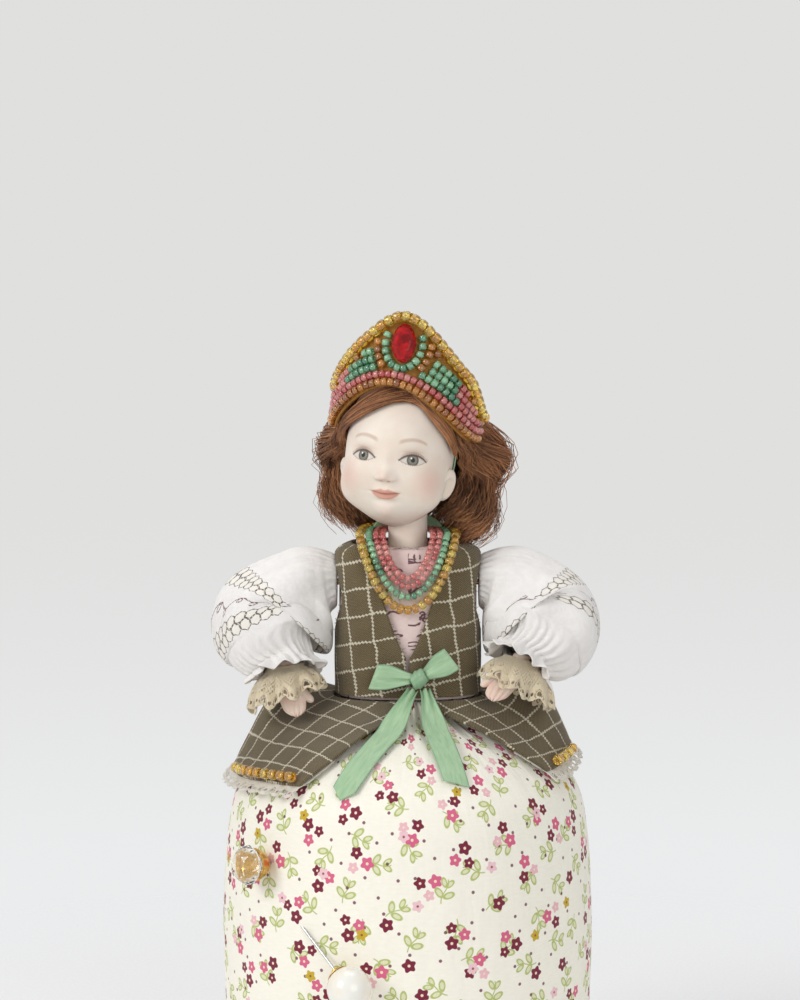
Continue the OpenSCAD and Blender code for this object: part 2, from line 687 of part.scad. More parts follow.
// Wig: locks laid over the head, each between an inner and an outer surface
function swell_start(el) = lerp(95, 108, smooth((el + 16) / 12));
function wig_r(az, el) = let (a = abs(az))
    egg_r(az, el) + 0.6 + wig_t * lerp(0.7, 1.9, smooth((a - 50) / 60))
    + wig_swell * smooth((a - swell_start(el)) / 9) * lerp(1, 0.45, smooth((a - 125) / 45))
        * smooth((40 - el) / 34)
    + 3 * bell((a - 125) / 45) * smooth((-20 - el) / 30)
    + 0.5 * sin(el * 11 + a * 4) * smooth((20 - el) / 20);
function wig_point(az, el, f) = lerp(egg_r(az, el) + 1.1, wig_r(az, el), f) * ray(az, el);
function side_az(side, el) = lerp(side > 0 ? 114 : 107, 77, smooth((el + 2) / 16));
function lock_grid(side, low, f) = [for (i = [0:11]) let (el = lerp(low, 86, i / 11))
    [for (j = [0:7]) let (az = side_az(side, el), next = max(az + 4, 108))
        wig_point(side * (j == 0 ? az : lerp(next, 144, (j - 1) / 6)), el, f)]];

module wig_left() {
    color("#7a4a2c")
        on_head()
            between(lock_grid(1, -44, 1), lock_grid(1, -44, 0));
}

module wig_right() {
    color("#7a4a2c")
        on_head()
            between(lock_grid(-1, -42, 1), lock_grid(-1, -42, 0));
}

function back_lock_grid(f) = [for (i = [0:11]) let (el = lerp(-42, 86, i / 11))
    [for (j = [0:10]) let (az = lerp(144.8, 215.2, j / 10)) wig_point(az > 180 ? az - 360 : az, el, f)]];

module wig_back() {
    color("#7a4a2c")
        on_head()
            between(back_lock_grid(1), back_lock_grid(0));
}

function fringe_low(az) = 40 - 28 * pow(abs(az) / 75, 1.6);
function fringe_grid(f) = [for (i = [0:7]) [for (j = [0:14])
    let (az = lerp(-75.5, 75.5, j / 14), el = lerp(fringe_low(az), 86, i / 7))
    lerp(max(egg_r(az, el), face_r(az, el)) + 0.3, egg_r(az, el) + 0.4 + wig_t * 0.8, f) * ray(az, el)]];

module wig_fringe() {
    color("#7a4a2c")
        on_head()
            between(fringe_grid(1), fringe_grid(0));
}

// Headdress: a peaked band round the front of the head, az across it and h up it
function band_low(az) = band_z - band_drop * (1 - smooth((band_arch - abs(az)) / band_arch));
function band_h(az) = band_side_h + band_peak_h * bell((az - stone_az) / (az > stone_az ? 34 : 22))
    - (az > 0 ? band_fall * smooth((az - 60) / 35) : band_taper * smooth((-az - 20) / 60));
function band_slope(az) = let (t = clamp((band_arch - abs(az)) / band_arch))
    6 * t * (1 - t) * band_drop / (band_rx * band_arch * PI / 180);
function edge_slope(az) = (band_low(az + 1) + band_h(az + 1) - band_low(az - 1) - band_h(az - 1))
    / (2 * band_rx * PI / 180);
function band(az, h, d) =
    [(band_rx + d) * sin(az), band_y - (band_ry + d) * cos(az) + h * 0.12, band_low(az) + h];
function band_grid(d) = [for (i = [0:3]) [for (j = [0:24])
    let (az = -95 + j * 190 / 24) band(az, band_h(az) * i / 3, d)]];

module headdress_backing() {
    color("#8c6a3c")
        on_head()
            between(band_grid(band_t / 2), band_grid(-band_t / 2));
}

seed_l = seed_d * 0.75;
seed_off = band_t / 2 + 0.1 + seed_d / 2;
seed_pitch = (seed_l + 0.15) / 19.4 * 57.3;
row_pitch = seed_d + 0.12;
medallion_h = seed_d * 3.2 + stone_l / 2 + 0.3;

module seed(az, h) {
    along(band(az, h, seed_off), band(az + 1, h, seed_off) - band(az - 1, h, seed_off))
        bead(seed_d, seed_l, 0.6);
}

// Two rows along the lower edge
function row_h(k, az) = (seed_d / 2 + 0.2 + k * row_pitch) * norm([1, band_slope(az)]);
function row(k) = [for (i = [-56:56]) let (az = (i + 0.5 * k) * seed_pitch)
    if (abs(az) < 92) [az, row_h(k, az)]];

// Rows above them run from the stone outwards and end under the rim
rows_from = (stone_w / 2 + seed_d * 2.75) / 0.34;
function stone_side(az, h, x, y) = norm([(az - stone_az) * 0.34 / (stone_w / 2 + x),
    (band_low(az) + h - band_low(stone_az) - medallion_h) / (stone_l / 2 + y)]) > 1;
function under_rim(az, h) =
    h < band_h(az) - rim_d * 0.45 - (rim_d / 2 + seed_d / 2 + 0.1) * norm([1, edge_slope(az)]);
function upper_rows(from, to) = [for (side = [-1, 1], k = [2:8], i = [-6:40])
    let (out = rows_from + (i + 0.5 * (k % 2)) * seed_pitch, az = stone_az + side * out, h = row_h(k, az))
    if (out >= from && out < to && abs(az) < 92 && under_rim(az, h)
        && stone_side(az, h, seed_d * 2.7, seed_d * 2.4))
        [az, h]];

module seeds(places) {
    on_head()
        for (p = places)
            seed(p.x, p.y);
}

// A ring of beads round the stone, and an arc outside it on each side
ring_rx = stone_w / 2 + seed_d / 2 + 0.3;
ring_rh = stone_l / 2 + seed_d / 2 + 0.3;
function ring_place(grow, a) = let (az = stone_az + (ring_rx + grow) * sin(a) / 19.4 * 57.3)
    band(az, band_low(stone_az) - band_low(az) + medallion_h - (ring_rh + grow) * cos(a), seed_off);
ring_turns = [for (i = [-5.5:5.5]) i * 19.5];
arc_turns = [for (i = [0:3]) 47 + i * 14];
arc_grow = seed_d + 0.2;

module stone_ring(grow, turns) {
    on_head()
        for (a = turns)
            along(ring_place(grow, a), ring_place(grow, a + 2) - ring_place(grow, a - 2))
                bead(seed_d, seed_l, 0.6);
}

module mint_beads() {
    color("#a4cdb2") {
        seeds(upper_rows(0, 46));
        stone_ring(0, ring_turns);
    }
}

module coral_beads() {
    color("#e2938c") {
        seeds(row(1));
        seeds(upper_rows(46, 99));
    }
}

// Rim beads follow the top edge at even steps
function rim_point(az) = band(az, band_h(az) - rim_d * 0.45, band_t / 2 + 0.1 + rim_d / 2);
function rim_len() = let (s = [for (i = [0:188]) norm(rim_point(i - 93) - rim_point(i - 94))])
    [for (i = 0, l = 0; i <= 188; l = l + s[i], i = i + 1) [l, i - 94]];
function rim_places() =
    let (table = rim_len(), whole = table[188][0], n = floor(whole / (rim_d * 0.75 + 0.42)))
    [for (i = [0:n]) lookup(i * whole / n, table)];

module rim_beads() {
    color("#c9912f")
        on_head()
            for (az = rim_places())
                along(rim_point(az), rim_point(az + 0.5) - rim_point(az - 0.5))
                    bead(rim_d, rim_d * 0.75, 0.8);
}

// Brown beads fill the places that the rows, the rings and the rim leave bare
bead_reach = 0.52;
function sewn() = concat(
    [for (p = concat(row(0), row(1), upper_rows(0, 99))) [band(p.x, p.y, seed_off), seed_d]],
    [for (a = ring_turns) [ring_place(0, a), seed_d]],
    [for (turn = [-1, 1], a = arc_turns) [ring_place(arc_grow, turn * a), seed_d]],
    [for (az = rim_places()) [rim_point(az), rim_d]]);
function is_bare(p, taken) =
    min([for (t = taken) norm(p - t[0]) - t[1] * bead_reach]) > seed_d * bead_reach + 0.06;
function filling(c, taken, i = 0) = i >= len(c) ? []
    : let (p = band(c[i].x, c[i].y, seed_off))
    is_bare(p, taken) ? concat([c[i]], filling(c, concat(taken, [[p, seed_d]]), i + 1))
    : filling(c, taken, i + 1);
function bare_places() = [for (h = [20:-0.4:3], az = [-88:1.5:88])
    if (stone_side(az, h, seed_d * 0.6, seed_d * 0.6) && h < band_h(az) - rim_d * 1.2) [az, h]];

module brown_beads() {
    color("#8a5a22") {
        seeds(row(0));
        stone_ring(arc_grow, arc_turns);
        stone_ring(arc_grow, -arc_turns);
        seeds(filling(bare_places(), sewn()));
    }
}

// Navette-cut stone, its flat back on the band
module red_stone() {
    outline_n = 16;
    function leaf(s, z) = [for (j = [0:outline_n - 1]) let (a = j * 360 / outline_n)
        [s * stone_w / 2 * sin(a), s * stone_l / 2 * spow(cos(a), 1.25), z]];
    color("#b8192c")
        on_head()
            translate(band(stone_az, medallion_h, band_t / 2 + 0.15))
                rotate([0, 0, stone_az])
                    rotate([83.2, 0, 0])
                        rotate([0, 0, 4])
                            loft([leaf(0.82, 0), leaf(1, stone_h * 0.35), leaf(0.62, stone_h)]);
}

// Ribbon ties from the band's ends behind the ears to the nape
function tie_at(u) = curve([[104, 8], [107, -10], [114, -32], [130, -46], [147, -52]], u);
function tie_grid(side, d) = [for (i = [0:10])
    let (u = i * 0.4, c = tie_at(u), q = tie_at(min(4, u + 0.1)) - tie_at(max(0, u - 0.1)))
    let (n = [-q.y, q.x * cos(c.y)] / norm([q.x * cos(c.y), q.y]), g = tie_w / 2 / egg_r(c.x, c.y) * 57.3)
    [for (v = [-1, 0, 1]) let (az = c.x + v * g * n.x / max(0.5, cos(c.y)), el = c.y + v * g * n.y)
        (egg_r(az, el) + 0.25 + d) * ray(side * az, el)]];

module tie_left() {
    color("#8fb8a4")
        on_head()
            between(tie_grid(1, ribbon_t), tie_grid(1, 0));
}

module tie_right() {
    color("#8fb8a4")
        on_head()
            between(tie_grid(-1, ribbon_t), tie_grid(-1, 0));
}

// Small bow tied behind the neck, under the wig
nape_c = [neck_x, neck_y + neck_d / 2 + move_gap + 2.4, neck_z + 7.2];
function nape_grid(side, d) = [for (i = [0:12])
    let (u = i / 12, a = 1.2 + 10 * sin(180 * u), reach = a + d * sin(180 * u))
    let (b = -cos(180 * u) * (0.35 + d + 0.9 * sin(180 * u)), half = lerp(1, 1.5, smooth(a / 8)))
    [for (v = [-1, 0, 1]) nape_c + [side * reach, b - 0.035 * reach * reach, v * half + 0.04 * a]]];

module nape_bow() {
    color("#8fb8a4") {
        translate(nape_c + [0, 0.4, 0])
            sphere(r = 1);
        between(nape_grid(1, ribbon_t), nape_grid(1, 0));
        between(nape_grid(-1, ribbon_t), nape_grid(-1, 0));
    }
}

// Arms: each has its own elbow, wrist and fingertip
arm_r = wrist_r - 2.9;
cuff_in = arm_r + rest_gap + lace_t + 0.1;
function arm_joint(side) = [side * arm_x, 0, shoulder_z];
function elbow(side) = [side * (arm_x + elbow_reach), -3, shoulder_z - elbow_drop];
function wrist(side) = side < 0 ? [-(arm_x + wrist_reach), -10, shoulder_z - wrist_drop]
    : [arm_x + wrist_reach_left, -12, shoulder_z - wrist_drop_left];
function tip(side) = wrist(side) + hand_l * unit(side < 0 ? [3.5, -7, -14.5] : [-9, -8, -12]);
function sleeve_path(side, u) = curve([arm_joint(side), arm_joint(side) + [side * 7, -0.6, -2.2], elbow(side),
    lerp(elbow(side), wrist(side), 0.62) + [side * 1.2, 0, 0], wrist(side),
    wrist(side) + 3.4 * unit(tip(side) - wrist(side))], u);
function sleeve_r(u) =
    curve([[shoulder_r], [puff_r * 0.78], [puff_r], [puff_r * 0.8], [wrist_r], [wrist_r + 3.4]], u)[0];
function frame_ring(p, t, r, n) = let (e = unit(cross(t, [0, 1, 0])), g = cross(t, e))
    [for (j = [0:n - 1]) p + r[j] * (e * cos(j * 360 / n) + g * sin(j * 360 / n))];
function sleeve_ring(side, u, d) =
    let (p = sleeve_path(side, u))
    let (t = unit(sleeve_path(side, min(5, u + 0.05)) - sleeve_path(side, max(0, u - 0.05))))
    let (dir = u < 0.3 ? unit(lerp([side, 0, 0], t, u / 0.3)) : t)
    frame_ring(p, dir, [for (j = [0:23]) sleeve_r(u) - d
        - 0.05 * sleeve_r(u) * (1 - cos(j * 15 * 6)) * (0.35 + smooth(abs(u - 2.2) / 2))], 24);
sleeve_rows = [0, 0.35, 0.75, 1.2, 1.7, 2.2, 2.7, 3.2, 3.6, 4, 4.5, 5];

module sleeve(side) {
    color("#f5efe8")
        tube([for (u = sleeve_rows) sleeve_ring(side, u, 0)],
            [for (u = sleeve_rows) sleeve_ring(side, u, sleeve_t)]);
}

module sleeve_left() {
    sleeve(1);
}

module sleeve_right() {
    sleeve(-1);
}

// Wire that turns in the shoulder and carries the arm
module shoulder_wire(side) {
    color("#b8a07a")
        translate([side > 0 ? wire_in : -(arm_x + wire_reach), 0, shoulder_z])
            rotate([0, 90, 0])
                cylinder(h = arm_x + wire_reach - wire_in, d = wire_d);
}

module shoulder_wire_left() {
    shoulder_wire(1);
}

module shoulder_wire_right() {
    shoulder_wire(-1);
}

// Stuffed upper arm inside the sleeve, down to the hand
function arm_path(side, u) = let (t = unit(tip(side) - wrist(side)))
    curve([arm_joint(side) + [side * 2, 0, 0], arm_joint(side) + [side * 8, -1, -1.5],
        lerp(elbow(side), wrist(side), 0.35), wrist(side) - 3.2 * t, wrist(side) - rest_gap * t], u);

module upper_arm(side) {
    color("#e9ddc8")
        difference() {
            loft([for (i = [0:8]) let (u = i / 2, p = arm_path(side, u))
                let (t = unit(arm_path(side, min(4, u + 0.1)) - arm_path(side, max(0, u - 0.1))))
                frame_ring(p, t, [for (j = [0:11]) lerp(4.4, arm_r, u / 4)], 12)]);
            translate([side > 0 ? wire_in : -(arm_x + wire_reach + rest_gap), 0, shoulder_z])
                rotate([0, 90, 0])
                    cylinder(h = arm_x + wire_reach - wire_in + rest_gap, d = wire_d + 2 * running);
        }
}

module upper_arm_left() {
    upper_arm(1);
}

module upper_arm_right() {
    upper_arm(-1);
}

// Gathered lace over the back of the hand
function cuff_ring(side, q, d) =
    let (t = unit(tip(side) - wrist(side)))
    let (p = wrist(side) + t * cuff_l * curve([[-0.07], [0.25], [0.54], [0.72], [1]], q)[0])
    let (r = curve([[cuff_in], [cuff_in + 0.4], [cuff_r * 0.6], [cuff_r * 0.85], [cuff_r]], q)[0])
    frame_ring(p, t, [for (j = [0:27]) r - d - 0.17 * q * (1 - cos(j * 360 / 28 * 7))], 28);

module lace_cuff(side) {
    rows = [0, 1, 2, 3, 4];
    color("#eadcc0")
        tube([for (q = rows) cuff_ring(side, q, 0)], [for (q = rows) cuff_ring(side, q, lace_t)]);
}

module lace_cuff_left() {
    lace_cuff(1);
}

module lace_cuff_right() {
    lace_cuff(-1);
}

// Bisque hand with its fingers together and the thumb apart
module hand(side) {
    w = wrist(side);
    t = unit(tip(side) - w);
    l = norm(tip(side) - w);
    e = unit(cross(t, [0, 1, 0]));
    g = cross(t, e);
    sections = [[0, 2.5, 2.5], [0.3, 2.3, 2.2], [0.42, 3, 2.1], [0.58, 3.7, 2], [0.75, 3.5, 1.7],
        [0.9, 2.9, 1.4], [0.98, 1.8, 0.9], [1, 0.7, 0.4]];
    root = w + t * l * 0.45 - side * e * 2;
    thumb = w + t * l * 0.76 - side * e * 5.4;
    color("#f0ddd0") {
        loft([for (s = sections) [for (j = [0:13])
            w + t * l * s[0] + e * s[1] * cos(j * 360 / 14) + g * s[2] * sin(j * 360 / 14)]]);
        loft([for (s = [[0, 1.5], [0.5, 1.35], [0.9, 1.05], [1, 0.5]]) [for (j = [0:7])
            lerp(root, thumb, s[0]) + s[1] * (e * cos(j * 45) + g * sin(j * 45))]]);
    }
}

module hand_left() {
    hand(1);
}

module hand_right() {
    hand(-1);
}

// Pins
module pearl_pin_shaft() {
    color("#c9c9c4")
        along(pearl_tip, pearl_dir)
            cylinder(h = pearl_pin_l, d = pin_d, $fn = 32);
}

module pearl() {
    color("#efe9df")
        difference() {
            translate(pearl_tip + (pearl_pin_l + pearl_d / 2 - 5) * pearl_dir)
                sphere(d = pearl_d);
            along(pearl_tip, pearl_dir)
                cylinder(h = pearl_pin_l + running, d = pin_d + 2 * running, $fn = 32);
        }
}

module crystal_pin_shaft() {
    color("#c9c9c4")
        along(crystal_tip, crystal_dir)
            cylinder(h = crystal_pin_l, d = pin_d, $fn = 32);
}

crystal_seat = crystal_tip + crystal_pin_l * crystal_dir;

// Gilt cup that the crystal is set in
module crystal_cup() {
    color("#c99a3c")
        along(crystal_seat, crystal_dir)
            difference() {
                rotate_extrude()
                    polygon([[0, -1], [1.2, -1], [cup_d * 0.36, 0.6], [cup_d / 2, 3], [cup_d / 2 - 0.5, 3.2],
                        [cup_d * 0.36 - 0.7, 1.5], [0, 1.1]]);
                translate([0, 0, -3])
                    cylinder(h = 3 + running, d = pin_d + 2 * running, $fn = 32);
            }
}

// Cut glass: a pointed back, a girdle and a flat table
module crystal() {
    color("#e8eef0")
        along(crystal_seat, crystal_dir)
            translate([0, 0, 1.3])
                loft([for (s = [[0.5, 0.1], [cup_d * 0.36 - 1.1, 0.5], [crystal_d / 2, 4],
                    [crystal_d / 2, 4.6], [crystal_d * 0.3, 7.4]])
                    [for (j = [0:11]) [s[0] * cos(j * 30), s[0] * sin(j * 30), s[1]]]]);
}

base_felt();
base_card();
stuffing();
skirt_cover();
spine_dowel();
torso();
blouse();
collar_tab();
vest_left();
vest_right();
vest_back();
peplum_left();
peplum_right();
peplum_lace_left();
peplum_lace_right();
hem_beads();
bow_knot();
bow_loop_left();
bow_loop_right();
bow_tail_left();
bow_tail_right();
coral_necklace();
mint_necklace();
amber_necklace();
necklace_threads();
head();
wig_fringe();
wig_left();
wig_right();
wig_back();
headdress_backing();
rim_beads();
mint_beads();
coral_beads();
brown_beads();
red_stone();
tie_left();
tie_right();
nape_bow();
shoulder_wire_left();
upper_arm_left();
sleeve_left();
lace_cuff_left();
hand_left();
shoulder_wire_right();
upper_arm_right();
sleeve_right();
lace_cuff_right();
hand_right();
pearl_pin_shaft();
pearl();
crystal_pin_shaft();
crystal_cup();
crystal();
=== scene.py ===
# Studio. The doll stands on a pale table top in soft light from the left, with
# the camera a little above its waist.
import math

import bpy
import numpy as np
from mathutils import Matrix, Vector


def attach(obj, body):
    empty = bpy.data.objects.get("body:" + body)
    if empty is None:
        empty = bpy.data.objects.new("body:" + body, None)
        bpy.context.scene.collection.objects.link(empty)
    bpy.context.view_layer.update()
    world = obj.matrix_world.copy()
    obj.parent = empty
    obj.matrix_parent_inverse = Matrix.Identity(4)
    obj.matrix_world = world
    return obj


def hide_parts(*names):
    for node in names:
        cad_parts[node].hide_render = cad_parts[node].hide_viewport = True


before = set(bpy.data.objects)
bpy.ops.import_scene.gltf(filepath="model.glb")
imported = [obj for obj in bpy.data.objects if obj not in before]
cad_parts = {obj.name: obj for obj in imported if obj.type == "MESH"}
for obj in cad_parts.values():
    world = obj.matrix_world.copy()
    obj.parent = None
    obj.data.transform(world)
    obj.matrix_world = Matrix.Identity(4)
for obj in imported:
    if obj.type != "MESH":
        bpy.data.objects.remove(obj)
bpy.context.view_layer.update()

MM = 0.001
scene = bpy.context.scene
scene.view_settings.view_transform = "Standard"

look_at = Vector((-0.0022, 0, 0.182))
far_off = 0.9
height_shown = 0.28
sensor_mm = 36
raised = math.radians(6)
camera = bpy.data.objects.new("camera", bpy.data.cameras.new("camera"))
camera.data.lens = sensor_mm * far_off / height_shown
camera.location = look_at + far_off * Vector((0, -math.cos(raised), math.sin(raised)))
camera.rotation_euler = (look_at - camera.location).to_track_quat("-Z", "Y").to_euler()
scene.collection.objects.link(camera)
scene.camera = camera


def lamp(name, place, size, power):
    softbox = bpy.data.objects.new(name, bpy.data.lights.new(name, "AREA"))
    softbox.data.size = size
    softbox.data.energy = power
    softbox.location = place
    softbox.rotation_euler = (look_at - softbox.location).to_track_quat("-Z", "Y").to_euler()
    scene.collection.objects.link(softbox)


lamp("window_light", (-0.95, -0.75, 0.75), 0.6, 7.6)
lamp("front_fill", (0.55, -1.1, 0.45), 0.8, 3.2)
lamp("top_light", (0.0, 0.25, 1.1), 0.7, 2.8)


class Dye:
    """A shader socket that can be reckoned with like a number."""

    def __init__(self, tree, socket=None):
        self.tree = tree
        self.socket = socket

    def node(self, kind, sockets=None, out=0, **settings):
        made = self.tree.nodes.new("ShaderNode" + kind)
        for name, value in settings.items():
            setattr(made, name, value)
        for name, value in (sockets or {}).items():
            if isinstance(value, Dye):
                self.tree.links.new(value.socket, made.inputs[name])
            else:
                made.inputs[name].default_value = value
        return Dye(self.tree, made.outputs[out])

    def op(self, operation, *others):
        return self.node("Math", dict(enumerate((self, *others))), operation=operation)

    def __add__(self, other):
        return self.op("ADD", other)

    def __sub__(self, other):
        return self.op("SUBTRACT", other)

    def __mul__(self, other):
        return self.op("MULTIPLY", other)

    def __truediv__(self, other):
        return self.op("DIVIDE", other)

    def __pow__(self, other):
        return self.op("POWER", other)

    def __mod__(self, other):
        return self.op("FLOORED_MODULO", other)

    def __rsub__(self, other):
        return self.node("Math", {0: other, 1: self}, operation="SUBTRACT")

    def __rtruediv__(self, other):
        return self.node("Math", {0: other, 1: self}, operation="DIVIDE")

    __radd__ = __add__
    __rmul__ = __mul__

    def __abs__(self):
        return self.op("ABSOLUTE")

    def sine(self, pitch):
        """A sine that comes round once in each pitch."""
        return (self * (6.283 / pitch)).op("SINE")

    def wave(self, pitch):
        """The same, between 0 and 1."""
        return self.sine(pitch) * 0.5 + 0.5

    def fade(self, low, high):
        """0 below low, 1 above high and smooth between."""
        return self.node("MapRange", {0: self, 1: low, 2: high}, interpolation_type="SMOOTHSTEP")

    def tint(self, under, over):
        """The first colour where this is 0 and the second where it is 1."""
        return self.node("Mix", {0: self, 6: under, 7: over}, out=2, data_type="RGBA")

    def parts(self):
        split = self.node("SeparateXYZ", {0: self})
        return [Dye(self.tree, socket) for socket in split.socket.node.outputs]

    def noise(self, scale, detail=2.0, stretch=(1, 1, 1)):
        spot = self.node("VectorMath", {0: self, 1: stretch}, operation="MULTIPLY")
        return self.node("TexNoise", {"Vector": spot, "Scale": scale, "Detail": detail})


def colour(red, green, blue):
    """A colour given as it is seen, in steps of 255."""
    return (*(((c / 255 + 0.055) / 1.055) ** 2.4 for c in (red, green, blue)), 1.0)


air = bpy.data.worlds.new("studio_air")
air.use_nodes = True
scene.world = air
glow = air.node_tree.nodes["Background"]
around = Dye(air.node_tree)
seen = around.node("LightPath", out="Is Camera Ray")
seen = seen.op("MAXIMUM", around.node("LightPath", out="Is Glossy Ray"))
seen = seen.op("MAXIMUM", around.node("LightPath", out="Is Transmission Ray"))
height = around.node("TexCoord", out="Generated").parts()[2]
backdrop = height.fade(-0.25, -0.1).tint(colour(237, 238, 239), colour(224, 224, 223))
seen = seen.tint((0.54, 0.54, 0.55, 1), backdrop)
air.node_tree.links.new(seen.socket, glow.inputs["Color"])


def thing(name, points, faces):
    """A new mesh object from points in millimetres."""
    mesh = bpy.data.meshes.new(name)
    mesh.from_pydata((np.asarray(points, float) * MM).tolist(), [], [list(map(int, f)) for f in faces])
    mesh.polygons.foreach_set("use_smooth", [True] * len(mesh.polygons))
    piece = bpy.data.objects.new(name, mesh)
    scene.collection.objects.link(piece)
    return piece


table_r = 900
table_sides = 96
turn = np.linspace(0, 2 * np.pi, table_sides, endpoint=False)
floor = thing("table_top", [[table_r * math.sin(a), -table_r * math.cos(a), -0.02] for a in turn],
              [range(table_sides)])
paper = bpy.data.materials.new("pale_paper")
paper.use_nodes = True
tree = paper.node_tree
sheet_dye = Dye(tree)
away = sheet_dye.node("VectorMath", {0: sheet_dye.node("TexCoord", out="Object")}, out=1, operation="LENGTH")
grain = sheet_dye.node("TexCoord", out="Object").noise(900)
plain = grain.fade(0.3, 0.7).tint(colour(241, 241, 241), colour(245, 245, 245))
matt = sheet_dye.node("BsdfDiffuse", {"Color": plain})
clear = sheet_dye.node("BsdfTransparent")
blend = sheet_dye.node("MixShader", {0: away.fade(0.1, 0.42), 1: matt, 2: clear})
tree.links.new(blend.socket, tree.nodes["Material Output"].inputs["Surface"])
floor.data.materials.append(paper)


# Base. A disc of brown felt is glued under a disc of stiff card, and a beech
# dowel glued into the card runs up through the stuffing to carry the head.
def finish(name, paint, **plain):
    """A material: paint gives the sockets that change over the surface, plain the others."""
    stuff = bpy.data.materials.new(name)
    stuff.use_nodes = True
    tree = stuff.node_tree
    shader = tree.nodes["Principled BSDF"]
    for socket, value in plain.items():
        shader.inputs[socket.replace("_", " ")].default_value = value
    painted = paint(Dye(tree))
    relief = painted.pop("Relief", None)
    if relief:
        painted["Normal"] = relief.node("Bump", {"Height": relief, "Distance": MM})
    for socket, dye in painted.items():
        tree.links.new(dye.socket, shader.inputs[socket])
    return stuff


def dress(piece, stuff):
    piece.data.materials.clear()
    piece.data.materials.append(stuff)


def spot_mm(dye):
    """Where a point lies on the object, in millimetres."""
    return dye.node("VectorMath", {0: dye.node("TexCoord", out="Object"), 1: (1000, 1000, 1000)},
                    operation="MULTIPLY")


def felt(dye):
    spot = spot_mm(dye)
    fibres = spot.noise(2.2, 5, (1, 1, 3))
    tufts = spot.noise(0.25, 2)
    shade = (fibres * 0.7 + tufts * 0.5).fade(0.35, 0.8)
    return {"Base Color": shade.tint(colour(98, 80, 62), colour(150, 130, 106)), "Relief": fibres * 0.3}


def card(dye):
    flecks = spot_mm(dye).noise(1.6, 4)
    return {"Base Color": flecks.fade(0.35, 0.7).tint(colour(160, 134, 98), colour(192, 168, 130)),
            "Relief": flecks * 0.05}


def beech(dye):
    grain = spot_mm(dye).noise(1.2, 4, (1, 1, 0.06))
    rays = spot_mm(dye).noise(4, 2, (1, 1, 0.25))
    shade = grain.fade(0.3, 0.7).tint(colour(196, 152, 104), colour(222, 186, 140))
    return {"Base Color": rays.fade(0.66, 0.72).tint(shade, colour(150, 108, 68)), "Relief": grain * 0.06}


dress(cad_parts["base_felt"], finish("brown_felt", felt, Roughness=0.95, Sheen_Weight=0.4))
dress(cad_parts["base_card"], finish("grey_card", card, Roughness=0.9))
dress(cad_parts["spine_dowel"], finish("beech_wood", beech, Roughness=0.55))


# Skirt cushion. Cream cotton printed with small sprigs, gathered in at the
# waist and under the base and stuffed hard with fibre, so pins hold in it.
cushion_r = 52.0
cushion_h = 127.0


def lerp(a, b, t):
    return a + (b - a) * t


def smooth(v):
    t = np.clip(v, 0, 1)
    return t * t * (3 - 2 * t)


def bell(v):
    return np.exp(-np.asarray(v, float) ** 2)


def curve(points, u):
    """A smooth line through points, u counting them."""
    points = np.asarray(points, float)
    u = np.asarray(u, float)
    i = np.clip(np.floor(u).astype(int), 0, len(points) - 2)
    t = (u - i)[..., None]
    a, b, c, d = (points[np.clip(i + k, 0, len(points) - 1)] for k in (-1, 0, 1, 2))
    return 0.5 * (2 * b + (c - a) * t + (2 * a - 5 * b + 4 * c - d) * t ** 2
                  + (3 * b - a - 3 * c + d) * t ** 3)


def wobble(x, seed, waves=5, low=0.5, high=3.0):
    """A slow uneven wave for hand-made edges and puckers."""
    dice = np.random.default_rng(seed)
    return sum(dice.uniform(0.4, 1) * np.sin(dice.uniform(low, high) * x + dice.uniform(0, 6.3))
               for _ in range(waves)) / waves


def sew(name, points, flat, thick=0.0, closed=False, keep=None, lift=0.0):
    """Cloth from a grid of points; flat is where each lies on the cut cloth, in millimetres."""
    points = np.asarray(points, float)
    m, n = points.shape[:2]
    index = np.arange(m * n).reshape(m, n)
    if closed:
        index = np.concatenate([index, index[:, :1]], 1)
    corners = np.stack([index[:-1, :-1], index[:-1, 1:], index[1:, 1:], index[1:, :-1]], -1)
    flat = np.asarray(flat, float)
    laid = np.stack([flat[:-1, :-1], flat[:-1, 1:], flat[1:, 1:], flat[1:, :-1]], -2)
    if keep is not None:
        corners, laid = corners[keep], laid[keep]
    used, faces = np.unique(corners.reshape(-1, 4), return_inverse=True)
    piece = thing(name, points.reshape(-1, 3)[used], faces.reshape(-1, 4))
    layer = piece.data.uv_layers.new(name="cloth")
    layer.data.foreach_set("uv", laid.reshape(-1))
    if thick:
        body = piece.modifiers.new("thickness", "SOLIDIFY")
        body.thickness = thick * MM
        body.offset = lift
    return piece


def fit(piece, body, slot, stuff, *nodes):
    dress(piece, stuff)
    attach(piece, body)
    if nodes:
        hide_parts(*nodes)
    return piece


skirt_line = [(40, 0.4), (cushion_r * 0.89, cushion_h * 0.04), (cushion_r * 0.965, cushion_h * 0.155),
              (cushion_r, cushion_h * 0.40), (cushion_r, cushion_h * 0.55),
              (cushion_r * 0.975, cushion_h * 0.70), (cushion_r * 0.915, cushion_h * 0.805),
              (cushion_r * 0.77, cushion_h * 0.873), (cushion_r * 0.585, cushion_h * 0.925),
              (cushion_r * 0.385, cushion_h * 0.966), (cushion_r * 0.28, cushion_h)]
rise = np.concatenate([np.linspace(0, 6, 110, endpoint=False), np.linspace(6, 10, 90)])
line = curve(skirt_line, rise)
slope = np.gradient(line, axis=0)
slope /= np.linalg.norm(slope, axis=1, keepdims=True)
around = np.linspace(-np.pi, np.pi, 361)[:-1]
ring, up = np.meshgrid(around, rise)
pleats = 0.5 - 0.5 * np.cos(12 * ring + 0.436 * np.sin(3 * ring))
fine = 0.5 - 0.5 * np.cos(43 * ring + 1.3 * np.sin(5 * ring) + 0.9 * np.sin(2 * ring))
